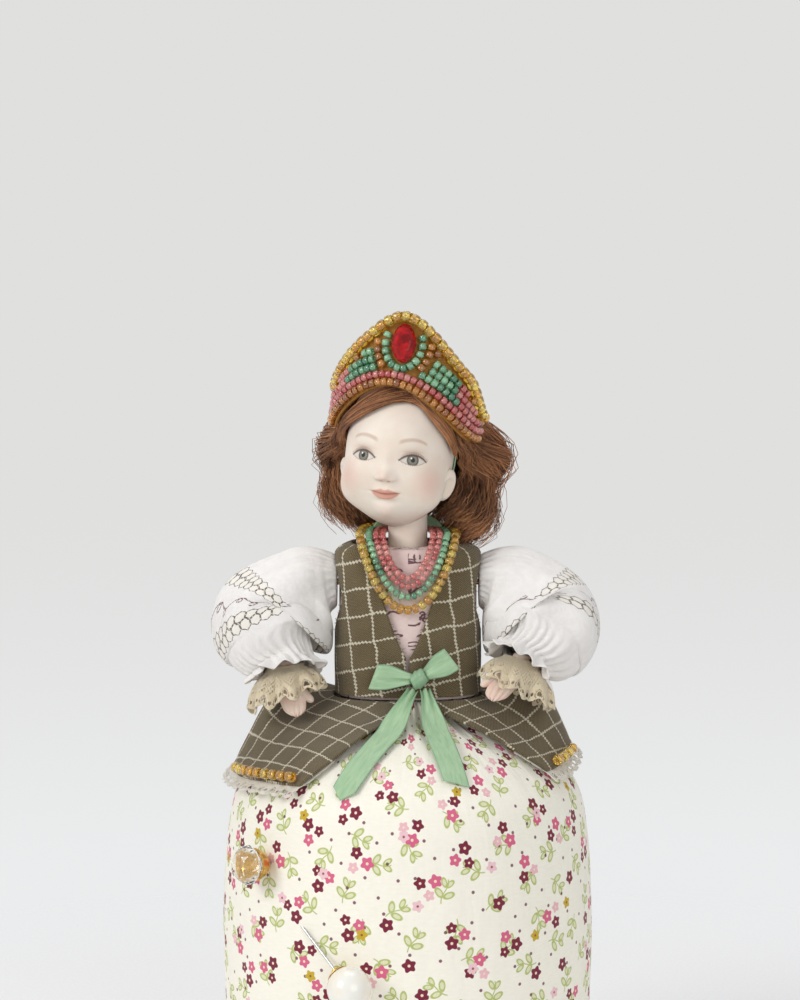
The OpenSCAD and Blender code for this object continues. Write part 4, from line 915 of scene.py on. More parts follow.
def turned(x, y, z):
    """Rotation about X, then Y, then Z, in degrees."""
    (cx, sx), (cy, sy), (cz, sz) = ((math.cos(math.radians(a)), math.sin(math.radians(a))) for a in (x, y, z))
    return (np.array(((cz, -sz, 0), (sz, cz, 0), (0, 0, 1))) @ np.array(((cy, 0, sy), (0, 1, 0), (-sy, 0, cy)))
            @ np.array(((1, 0, 0), (0, cx, -sx), (0, sx, cx))))


head_tilt = turned(-5, 5, -17)


def on_head(points):
    """Points given about the upright head's middle, moved to where the head is."""
    return np.asarray(points) @ head_tilt.T + head_c


def ray(az, el):
    """The way out of the head at az degrees from the face to the left and el degrees up."""
    a, e = np.radians(az), np.radians(el)
    return np.stack([np.sin(a) * np.cos(e), -np.cos(a) * np.cos(e), np.sin(e) + 0 * a], -1)


def egg_r(az, el):
    return 1 / np.linalg.norm(ray(az, el) / (head_w / 2, head_d / 2, head_h / 2), axis=-1)


def joined(name, *pieces):
    """One mesh out of several."""
    with bpy.context.temp_override(active_object=pieces[0], selected_editable_objects=pieces):
        bpy.ops.object.join()
    pieces[0].name = name
    return pieces[0]


mouth_el = -38.6
features = [(0, -21, 7, 6, 2.6), (0, -9, 6, 9, 0.8), (38, -28, 20, 15, 1.3), (-38, -28, 20, 15, 1.3),
            (0, -56, 15, 9, 1.2), (25, -6, 11, 7, -0.9), (-25, -6, 11, 7, -0.9), (0, -36, 10, 6, 0.8),
            (22, 13, 16, 8, 0.5), (-22, 13, 16, 8, 0.5), (62, -42, 26, 18, 2.8), (-62, -42, 26, 18, 2.8)]
modelling = [(0, -22, 6, 3.8, 0.5), (7.6, -24, 3.6, 2.9, 1.05), (-7.6, -24, 3.6, 2.9, 1.05),
             (3.6, -27.4, 2.0, 1.4, -0.7), (-3.6, -27.4, 2.0, 1.4, -0.7), (0, -31.6, 2.2, 2.8, -0.22),
             (6, -36, 7, 2.2, 0.55), (-6, -36, 7, 2.2, 0.55), (0, -41.6, 10, 2.6, 0.8), (0, mouth_el, 15, 1.0, -0.55),
             (0, -47, 11, 2.6, -0.5), (25, -7.5, 8.5, 4.6, 0.62), (-25, -7.5, 8.5, 4.6, 0.62),
             (25, -0.9, 11, 1.3, -0.3), (-25, -0.9, 11, 1.3, -0.3),
             (25, -12.2, 9, 1.2, -0.16), (-25, -12.2, 9, 1.2, -0.16)]
glance = 4.5
unpainted = (150.0, 60.0)
rows, columns = 230, 360
el, az = grid(np.linspace(-88, 88, rows), np.linspace(-180, 180, columns + 1)[:-1])
front = 180 * np.sign(az) * (0.45 * np.abs(az / 180) + 0.55 * np.abs(az / 180) ** 2.2)
far = egg_r(front, el)
for a, e, wide, tall, amount in features + modelling:
    far = far + amount * bell((front - a - glance * (abs(a) < 45)) / wide) * bell((el - e) / tall)
skull = on_head(ray(front, el) * far[..., None])
degrees = np.concatenate([front, [[180]] * rows], 1)
laid = np.stack([degrees, np.concatenate([el, el[:, :1]], 1)], -1)
cast = [sew("bisque_skull", skull, laid, closed=True)]
lid = np.arange(columns)
for row, flip in ((0, 1), (rows - 1, -1)):
    cap = thing("crown_cap", skull[row], [lid[::-flip]])
    cap.data.uv_layers.new(name="cloth").data.foreach_set("uv", unpainted * columns)
    cast.append(cap)
for side in (1, -1):
    lat, lon = grid(np.linspace(-85, 85, 30), np.arange(0, 360, 9))
    lat, lon = np.radians(lat), np.radians(lon)
    shell = np.stack([2.2 * np.cos(lat) * np.cos(lon), 2.8 * np.cos(lat) * np.sin(lon), 4.7 * np.sin(lat)], -1)
    rim = np.hypot(shell[..., 1] / 2.8 + 0.18, shell[..., 2] / 4.7)
    hollow = smooth((0.72 - rim) / 0.35) * (shell[..., 0] > 0)
    fold = 0.5 * bell((rim - 0.5) / 0.09) * (shell[..., 2] > -1)
    shell[..., 0] = shell[..., 0] * (1 - 0.85 * hollow) + fold * (shell[..., 0] > 0)
    ear = (shell * (side, 1, 1)) @ turned(0, side * 16, side * -24).T + (side * (head_w / 2 - 0.7), -0.6, -8.3)
    cast.append(sew("bisque_ear", on_head(ear), np.full((30, 41, 2), unpainted), closed=True))
throat = [(5.6, -4.4), (5.6, 0), (5.5, 3), (5.5, 6), (5.8, 9), (6.6, 12), (7.6, 14.5)]
throat = np.stack([ring(neck_at, r, neck_z + z, 48) for r, z in curve(throat, np.linspace(0, 6, 25))])
throat[..., :2] += (head_c[:2] - neck_at) * 0.5 * smooth((throat[..., 2:] - neck_z - 5) / 10)
cast.append(sew("bisque_neck", throat, np.full((25, 49, 2), unpainted), closed=True))
head = joined("bisque_head", *cast)


def bisque(dye):
    _, az, el = on_cloth(dye)
    az = az - glance
    spot = spot_mm(dye)
    speck = spot.noise(5, 3)
    side = abs(az)
    base = spot.noise(0.12, 2).fade(0.3, 0.7).tint(colour(236, 221, 205), colour(243, 232, 218))
    base = (speck.fade(0.6, 0.75) * 0.25).tint(base, colour(214, 196, 180))

    def blot(x, y, wide, tall):
        a, b = (side - x) / wide, (el - y) / tall
        return (1 - (a * a + b * b) ** 0.5).fade(0, 1)

    base = (blot(44, -26, 26, 20) * 0.5).tint(base, colour(226, 178, 162))
    base = (blot(0, -22, 11, 9) * 0.35).tint(base, colour(228, 186, 170))
    base = (blot(0, -55, 16, 9) * 0.3).tint(base, colour(226, 184, 170))
    base = (blot(26, -3, 19, 10) * 0.75).tint(base, colour(196, 170, 152))
    x = (side - 25) / 13.2
    arch = (1 - x * x).op("MAXIMUM", 0)
    top, bottom = arch ** 0.85 * 5.3 - 8.0, -8.0 - arch * 4.1
    inside = (top - el).fade(-0.3, 0.3) * (el - bottom).fade(-0.3, 0.3) * (1 - x * x).fade(0, 0.06)
    base = inside.tint(base, colour(222, 214, 204))
    # Painted shadow of the upper lid: the eye white greys just below it.
    base = (inside * (top - el - 1.4).fade(1.6, -1.2) * 0.5).tint(base, colour(168, 150, 140))
    iris_r = 5.6
    out, up = side - 24.6, el + 7.2
    gaze = (out ** 2 + up ** 2) ** 0.5
    iris = inside * (gaze - iris_r).fade(0.4, -0.4)
    rays = (up.op("ARCTAN2", out) * 17).op("SINE") * 0.5 + 0.5
    base = iris.tint(base, (rays * 0.5 + (gaze / iris_r) * 0.4).tint(colour(150, 148, 132), colour(104, 104, 96)))
    base = (inside * (0.8 - abs(gaze - 5.3)).fade(-0.3, 0.3) * 0.7).tint(base, colour(78, 70, 64))
    base = (iris * (2.2 - gaze).fade(-0.4, 0.4)).tint(base, colour(40, 34, 32))
    # Painted highlight: a white glint in each iris, on the same side of both eyes.
    painted_glint = (((out + az.op("SIGN") * 1.6) ** 2 + (el + 5.6) ** 2) ** 0.5 * -1 + 0.85).fade(-0.25, 0.25)
    base = (iris * painted_glint).tint(base, colour(250, 250, 250))
    lid = (0.85 - abs(el - top)).fade(-0.6, 0.4) * (abs(x) * -1 + 1.12).fade(0, 0.08)
    shaded = (el - top).fade(3.4, -0.2) * (el - top).fade(-0.4, 0.2) * (1.15 - abs(x)).fade(0, 0.4)
    base = (shaded * 0.5).tint(base, colour(138, 118, 104))
    base = (lid * 0.85).tint(base, colour(82, 66, 58))
    under = (0.34 - abs(el - bottom)).fade(-0.4, 0.3) * (1.02 - abs(x)).fade(0, 0.1)
    base = (under * 0.5).tint(base, colour(150, 112, 94))
    crease = (0.4 - abs(el - top - 2.6)).fade(-0.5, 0.3) * (1 - abs(x)).fade(0, 0.25)
    base = (crease * 0.4).tint(base, colour(176, 138, 118))
    lash = (side + (el - top) * 0.55).sine(1.9).fade(0.35, 0.9)
    upper = lash * (el - top).fade(0, 0.3) * (2.6 + x * 1.2 - (el - top)).fade(0, 1.4)
    upper = upper * (1.25 - abs(x)).fade(0, 0.1)
    lower = lash * (bottom - el).fade(0, 0.3) * (1.5 - (bottom - el)).fade(0, 1.0) * (1 - abs(x)).fade(0, 0.1)
    base = (upper * 0.7).tint(base, colour(92, 74, 64))
    base = (lower * 0.4).tint(base, colour(128, 104, 90))
    b = (side - 24) / 16
    brow = el - (11.4 - b * b * 4.2 + b * 0.4)
    hairs = (side * 1.1 + el * 0.9).sine(1.3) * 0.25 + 0.75
    brow = (1.7 - abs(brow) - b * 0.4).fade(-1.0, 1.4) * (1 - abs(b)).fade(0, 0.3) * hairs
    base = (brow * 0.6).tint(base, colour(176, 138, 110))
    nostril = (1.15 - (((side - 3.6) / 1.4) ** 2 + (el + 27.4) ** 2) ** 0.5).fade(-0.4, 0.4)
    base = (nostril * 0.45).tint(base, colour(168, 110, 96))
    m = az / 17
    lips = (1 - m * m).op("MAXIMUM", 0)
    bow_dip = ((m / 0.2) ** 2 * -1 + 1).op("MAXIMUM", 0)
    above = lips ** 1.3 * 4.8 - bow_dip * 0.8 + mouth_el
    below = mouth_el - lips ** 1.1 * 5.6
    mouth = (above - el).fade(-0.9, 0.8) * (el - below).fade(-1.1, 0.9) * (1.02 - abs(m)).fade(0, 0.3)
    base = (mouth * 0.85).tint(base, (el + 41).fade(-2, 2).tint(colour(222, 164, 143), colour(206, 138, 118)))
    slit = (0.45 - abs(el - mouth_el - m * m * 0.9)).fade(-0.5, 0.4) * (1.02 - abs(m)).fade(0, 0.15)
    base = (slit * 0.6).tint(base, colour(164, 96, 82))
    return {"Base Color": base, "Roughness": 0.55 + speck * 0.15 - mouth * 0.12 - iris * 0.3, "Relief": speck * 0.03}


porous = {"Subsurface_Weight": 0.12, "Subsurface_Scale": 0.0015, "Specular_IOR_Level": 0.35}
fit(head, "head_and_headdress", "bisque", finish("painted_bisque", bisque, **porous), "head")


# Wig. Auburn mohair glued to the head in locks: a fringe swept to both sides,
# a full wavy lock behind each ear and a back.
wig_t = 2.0
wig_swell = 10.5
back_from = 144


def wig_r(az, el):
    """How far the wig reaches from the head's middle, fullest below and behind the ears."""
    a = np.abs(az)
    start = lerp(95, 108, smooth((el + 16) / 12))
    return (egg_r(az, el) + 0.6 + wig_t * lerp(0.7, 1.9, smooth((a - 50) / 60))
            + wig_swell * smooth((a - start) / 9) * lerp(1, 0.45, smooth((a - 125) / 45)) * smooth((40 - el) / 34)
            + 3 * bell((a - 125) / 45) * smooth((-20 - el) / 30)
            + 0.5 * np.sin(np.radians(el * 11 + a * 4)) * smooth((20 - el) / 20))


def mohair(dye):
    _, chance, along = on_cloth(dye)
    pick = dye.node("TexWhiteNoise", {"W": chance * 977}, out="Value", noise_dimensions="1D")
    deep = spot_mm(dye).noise(0.14, 2)
    # along runs from root to tip on each strand; under each side and back lock it is set to -4, which paints that
    # under-layer dark as painted shade.
    shade = (pick * 0.7 + deep * 0.9 + along * 0.1).fade(0.3, 1.4)
    dark, light = colour(86, 48, 27), colour(208, 146, 98)
    return {"Base Color": shade.tint(dark, light), "Roughness": 0.5 + pick * 0.2}


auburn = finish("auburn_mohair", mohair, Specular_IOR_Level=0.3, Sheen_Weight=0.1)


def drawn_back(az, el):
    """Below the ear the hair hangs behind the cheek, so its front edge lies farther round."""
    return az + np.sign(az) * 0.43 * np.maximum(back_from - np.abs(az), 0) * smooth((14 - el) / 18)


def lock(name, node, az_from, az_to, low, slim, seed, count=1850, stray=0.08):
    """Mohair from the crown down: a layer close to the head, coloured dark as painted shade, and the wavy strands
    that cover it.
    """
    dice = np.random.default_rng(seed)
    el, az = grid(np.linspace(low + 4, 84, 60), np.linspace(az_from + 2, az_to - 2, 40))
    az = drawn_back(az, el)
    az = np.where(az > 180, az - 360, az)
    r = lerp(egg_r(az, el) + 1, wig_r(az, el), 0.6) * (1 - 0.24 * smooth((-20 - el) / 24))
    # The under-layer's along is -4, which turns the mohair colour dark: painted shade inside the hair.
    painted_shade_layer = sew(name + "_mass", on_head(ray(az, el) * r[..., None]), np.stack([az * 0.013 % 1, 0 * el - 4], -1), 0.6)
    painted_shade_layer.modifiers.clear()
    k = np.linspace(0, 1, 18)[None]
    start = dice.uniform(az_from, az_to, (count, 1))
    wild = dice.uniform(0, 1, (count, 1)) < stray
    end = low + dice.normal(0, 4, (count, 1)) + 16 * dice.uniform(0, 1, (count, 1)) ** 3
    el = lerp(dice.uniform(30, 84, (count, 1)), end, k ** 0.9)
    curl = np.round(start / 11 + 0.3 * np.sin(start * 2.3)) * 11
    az = drawn_back(lerp(start, curl, 0.5 * smooth((30 - el) / 40)), el)
    az = np.where(az > 180, az - 360, az)
    phase = curl * 1.7 + dice.normal(0, 0.5, (count, 1))
    wave = np.radians(el * 10) + phase
    soft = smooth((24 - el) / 36)
    deep = dice.uniform(-1.5, 0.2, (count, 1)) + 1.5 * np.cos(wave) * soft + 0.3 * np.sin(wave * 3.1 + phase)
    loose = (wild * dice.uniform(0.6, 4.2, (count, 1)) * smooth((40 - el) / 60)
             + dice.uniform(0, 0.8, (count, 1)) * smooth((-15 - el) / 30))
    sunk = dice.uniform(0, 1, (count, 1)) ** 2 * 0.85 * smooth((134 - np.abs(az)) / 14)
    r = lerp(wig_r(az, el) + deep, egg_r(az, el) + 1.2, sunk) * (1 - slim * smooth((2 - el) / 46))
    r = np.maximum(r, egg_r(az, el) + 0.8) + loose + 0.4 * np.sin(38 * k + 9 * phase) * soft
    az = az + (0.8 + 4.6 * soft) * np.sin(wave) + 1.3 * np.sin(31 * k + 7 * phase) * soft
    az = az + dice.normal(0, 5, (count, 1)) * smooth((k - 0.65) / 0.35)
    strands = spin(name + "_strands", on_head(ray(az, el) * r[..., None]), lerp(0.15, 0.07, k),
                   chance=dice.uniform(0, 1, count))
    fit(joined(name, strands, painted_shade_layer), "head_and_headdress", "mohair", auburn, node)


lock("mohair_lock_left", "wig_left", 77, back_from, -48, 0.06, 61)
lock("mohair_lock_right", "wig_right", -back_from, -77, -50, 0.18, 62)
lock("mohair_back", "wig_back", back_from, 360 - back_from, -47, 0.14, 63)
parting_az = 22


def fringe_low(az):
    """How far up the head the fringe ends, highest at the parting."""
    return 45 - 36 * (np.abs(az - parting_az) / np.where(az > parting_az, 52, 90)) ** 1.3


dice = np.random.default_rng(64)
el, az = grid(np.linspace(0, 1, 30), np.linspace(-76, 76, 60))
el = lerp(fringe_low(az) + 2, 86, el)
under = sew("fringe_mass", on_head(ray(az, el) * (egg_r(az, el) + 0.9)[..., None]),
            np.stack([az * 0.013 % 1, el / 90], -1))
count = 1300
k = np.linspace(0, 1, 15)[None]
parting = parting_az + dice.normal(0, 2.5, (count, 1))
swing = np.where(dice.uniform(0, 1, (count, 1)) < 0.64, -1, 1)
high = dice.uniform(0, 1, (count, 1)) ** 1.3
az = lerp(parting, swing * dice.uniform(66, 84, (count, 1)), k ** 0.85)
drop = fringe_low(az) - 1.5 + 22 * high * (1 - 0.55 * k) + 1.6 * np.sin(k * 9 + high * 14) * (1 - k)
stray = (dice.uniform(0, 1, (count, 1)) < 0.05) * dice.uniform(0, 1, (count, 1))
el = np.minimum(drop, 84) - 5 * stray * k
full = np.sin(np.pi * (0.15 + 0.8 * k)) + 0.8 * smooth((np.abs(az) - 35) / 30)
r = egg_r(az, el) + 1.0 + dice.uniform(0, 1.3, (count, 1)) * full + 0.6 * stray
strands = spin("fringe_strands", on_head(ray(az, el) * r[..., None]), lerp(0.13, 0.07, k),
               chance=dice.uniform(0, 1, count))
fit(joined("mohair_fringe", strands, under), "head_and_headdress", "mohair", auburn, "wig_fringe")


# Headdress. A peaked band of stiffened cloth, sewn all over with seed beads,
# edged with larger amber beads and set with one red pointed-oval stone.
band_t = 1.0
band_edge = 95
stone_az = 6.0


def band(az, h, d):
    """A point d in front of the band's middle, h above its lower edge."""
    a = np.radians(az)
    return np.stack([(19.6 + d) * np.sin(a), 3 - (18.6 + d) * np.cos(a) + h * 0.12,
                     17.4 - 13.2 * (1 - smooth((85 - np.abs(az)) / 85)) + h], -1)


def band_h(az):
    ends = np.where(az > 0, 7.5 * smooth((az - 60) / 35), 4 * smooth((-az - 20) / 60))
    return 16 + 4.9 * bell((az - stone_az) / np.where(az > stone_az, 34, 22)) - ends


def stiff_cloth(dye):
    spot, u, v = on_cloth(dye)
    threads = weave(u, v, 0.55)
    shade = (threads * 0.6 + spot.noise(0.8, 3) * 0.6).fade(0.2, 1)
    return {"Base Color": shade.tint(colour(140, 92, 34), colour(190, 138, 60)), "Relief": threads * 0.1}


h, az = grid(np.linspace(0, 1, 30), np.linspace(-band_edge, band_edge, 150))
shape = on_head(band(az, h * band_h(az), 0))
backing = sew("headdress_band", shape, np.stack([np.radians(az) * 20, h * band_h(az)], -1), band_t * 0.95)
fit(backing, "head_and_headdress", "stiffened_cloth", finish("stiffened_cloth", stiff_cloth, Roughness=0.8),
    "headdress_backing")
brown_glass = glass("brown_glass", colour(184, 104, 20), colour(246, 178, 62), 0.7)
for name, node, seed, slot, stuff in (
        ("amber_rim_beads", "rim_beads", 71, "amber_glass", amber_glass),
        ("mint_seed_beads", "mint_beads", 72, "mint_glass", mint_glass),
        ("coral_seed_beads", "coral_beads", 73, "coral_glass", coral_glass),
        ("brown_seed_beads", "brown_beads", 74, "brown_glass", brown_glass)):
    fit(glass_beads(name, node, seed, 1.13), "head_and_headdress", slot, stuff, node)


def flecked(dark, light, scale, rough, uneven, detail=3, low=0.3, stretch=(1, 1, 1), relief=0):
    """Colour and gloss that change together, as on metal and foil."""
    def paint(dye):
        fleck = spot_mm(dye).noise(scale, detail, stretch)
        painted = {"Base Color": fleck.fade(low, 0.7).tint(dark, light), "Roughness": rough + fleck * uneven}
        if relief:
            painted["Relief"] = fleck * relief
        return painted
    return paint


def faceted(name, rings, sides, faces):
    """A cut stone from rings of corners, closed with a flat at each end."""
    ends = [list(range(len(rings) - sides, len(rings))), list(range(sides))[::-1]]
    piece = thing(name, rings, faces + ends)
    piece.data.polygons.foreach_set("use_smooth", [False] * len(piece.data.polygons))
    return piece


stone_w, stone_h, stone_sides = 3.5, 5.5, 16
rounds = np.arange(stone_sides) * np.pi / 8
leafy = [np.stack([s * stone_w * np.sin(rounds + shift), s * stone_h * spow(np.cos(rounds + shift), 1.25),
                   np.full(stone_sides, z)], -1)
         for s, z, shift in ((0.86, 0, 0), (1, 0.9, 0), (1, 1.15, 0), (0.86, 2.0, 0.196), (0.62, 2.7, 0),
                             (0.5, 2.95, 0.196))]
lean = turned(0, 0, stone_az) @ turned(83.2, 0, 0) @ turned(0, 0, 4)
medallion = band(np.array(stone_az), 2 * 3.2 + stone_h + 0.3, band_t / 2 + 0.15)
rings = np.concatenate([on_head(r @ lean.T + medallion) for r in leafy])
corner = np.arange(stone_sides * 5)
over = corner - corner % stone_sides + (corner + 1) % stone_sides
faces = np.stack([corner, over, over + stone_sides], -1).tolist()
faces += np.stack([corner, over + stone_sides, corner + stone_sides], -1).tolist()
red_foil = flecked(colour(118, 4, 10), colour(190, 16, 22), 0.5, 0.03, 0.03, detail=2)
fit(faceted("red_pointed_stone", rings, stone_sides, faces), "head_and_headdress", "red_glass",
    finish("red_glass", red_foil, Specular_IOR_Level=0.3), "red_stone")


# Ties. Narrow mint ribbon runs from each end of the band down behind the ear
# and is tied in a small bow at the nape, under the wig.
tie_half = 1.75
for side, name in ((1, "left"), (-1, "right")):
    u, v = grid(np.linspace(0, 4, 60), np.linspace(-1, 1, 9))
    stops = ((104, 8), (107, -10), (114, -32), (130, -46), (147, -52))
    at, later = curve(stops, u), curve(stops, np.minimum(4, u + 0.05)) - curve(stops, np.maximum(0, u - 0.05))
    flat = np.cos(np.radians(at[..., 1]))
    size = np.hypot(later[..., 0] * flat, later[..., 1])
    wide = tie_half / egg_r(at[..., 0], at[..., 1]) * 57.3
    az = at[..., 0] - v * wide * later[..., 1] / size / np.maximum(0.5, flat)
    el = at[..., 1] + v * wide * later[..., 0] * flat / size
    shape = on_head(ray(side * az, el) * (egg_r(az, el) + 0.45)[..., None])
    tie = sew("ribbon_tie_" + name, shape, np.stack([u * 8, v * tie_half], -1), 0.25)
    fit(tie, "head_and_headdress", "mint_satin", mint_satin, "tie_" + name)
nape = np.array((0, 1 + 5.6 + 0.4 + 2.4, neck_z + 7.2))
u, v = grid(np.linspace(-1, 1, 161), np.linspace(-1, 1, 11))
go = np.abs(np.sin(np.pi * u))
reach = (1.0 + 9.8 * go) * np.sign(u + 1e-6)
half = lerp(0.8, 2.3, smooth(np.abs(reach) / 8)) * (1 - 0.45 * smooth((np.abs(reach) - 8.5) / 2.5))
deep = -np.cos(np.pi * u) * (0.35 + 0.9 * go)
wings = nape + np.stack([reach, deep - 0.035 * reach ** 2, v * half + 0.1 * np.abs(reach) - 0.045 * reach ** 2], -1)
loops = sew("nape_loops", wings, np.stack([u * 20, v * 1.7], -1), 0.25)
wrap, across = grid(np.linspace(0, 2 * np.pi, 37)[:-1], np.linspace(-1, 1, 11))
fat = 1.25 - 0.3 * across ** 2
knot = nape + (0, 0.4, 0) + np.stack([across * 1.1, fat * np.cos(wrap), fat * np.sin(wrap)], -1)
knot = sew("nape_knot", knot.transpose(1, 0, 2), np.zeros((11, 37, 2)), 0.2, closed=True)
fit(joined("nape_bow_ribbon", knot, loops), "head_and_headdress", "mint_satin", mint_satin, "nape_bow")


# Arms. Each swings on a copper wire through the torso: a stuffed upper arm in a
# full white sleeve, smocked in two bands and ending in a frill over a lace cuff,
# with a bisque hand pushed into its end.
arm_x = 21.35
shoulder_z = 159.0
hand_l = 16.7
sleeve_w = 105


def unit(v):
    return v / np.linalg.norm(v, axis=-1, keepdims=True)


def crosswise(way):
    """Two directions square to a way."""
    first = unit(np.cross(way, (0, 1, 0)))
    return first, np.cross(way, first)


def smocked_cotton(dye):
    spot, u, v = on_cloth(dye)
    threads = weave(u, v, 0.32)
    base = (threads * 0.4 + spot.noise(0.4, 3) * 0.7).fade(0.2, 1).tint(colour(232, 228, 224), colour(247, 245, 242))
    drift = (spot.noise(0.45, 2) - 0.5) * 0.9
    drawn = None
    for start, cell in ((20.5, sleeve_w / 36), (36.0, sleeve_w / 29)):
        x, y = (u + drift) / cell, (v - start + drift) / 2.7 + 1.3
        ax, ay = x % 1 - 0.5, y % 1.732 - 0.866
        bx, by = (x - 0.5) % 1 - 0.5, (y - 0.866) % 1.732 - 0.866
        near = (ax * ax + ay * ay).op("LESS_THAN", bx * bx + by * by)
        gx, gy = near * ax + (1 - near) * bx, near * ay + (1 - near) * by
        far = abs(gx) * 0.5 + abs(gy) * 0.866
        row = y - gy
        pair = (row - 0.5).fade(0, 0.05) * (2.2 - row).fade(0, 0.05)
        edge = (far.op("MAXIMUM", abs(gx)) - 0.43).fade(-0.035, 0.025) * pair
        base = (pair * 0.35).tint(base, colour(243, 234, 214))
        drawn = edge if drawn is None else drawn.op("MAXIMUM", edge)
    stitch = ((u + v) * 5).op("SINE").fade(-1.3, -0.2)
    base = (drawn * stitch * 0.9).tint(base, colour(84, 74, 62))
    y = v - 28.5 - u.sine(11) * 1.2 + drift
    x = (u + drift * 2) % 5.5 - 2.75
    curl = (abs((x * x + (y - 1.1) ** 2) ** 0.5 - 0.85) * -1 + 0.2).fade(-0.1, 0.08)
    vine = (0.2 - abs(y)).fade(-0.1, 0.08).op("MAXIMUM", curl) * (spot.noise(0.09, 1) - 0.42).fade(0, 0.04)
    base = (vine * stitch * 0.9).tint(base, colour(112, 50, 70))
    return {"Base Color": base, "Relief": threads * 0.03 + drawn * 0.25 + vine * 0.2 + spot.noise(0.22, 3) * 0.7}


def bare_hand(dye):
    spot = spot_mm(dye)
    speck = spot.noise(5, 3)
    blush = spot.noise(0.22, 2).fade(0.4, 0.7)
    base = blush.tint(colour(238, 217, 200), colour(232, 196, 180))
    return {"Base Color": (speck.fade(0.6, 0.75) * 0.2).tint(base, colour(216, 192, 176)),
            "Roughness": 0.55 + speck * 0.15, "Relief": speck * 0.03}


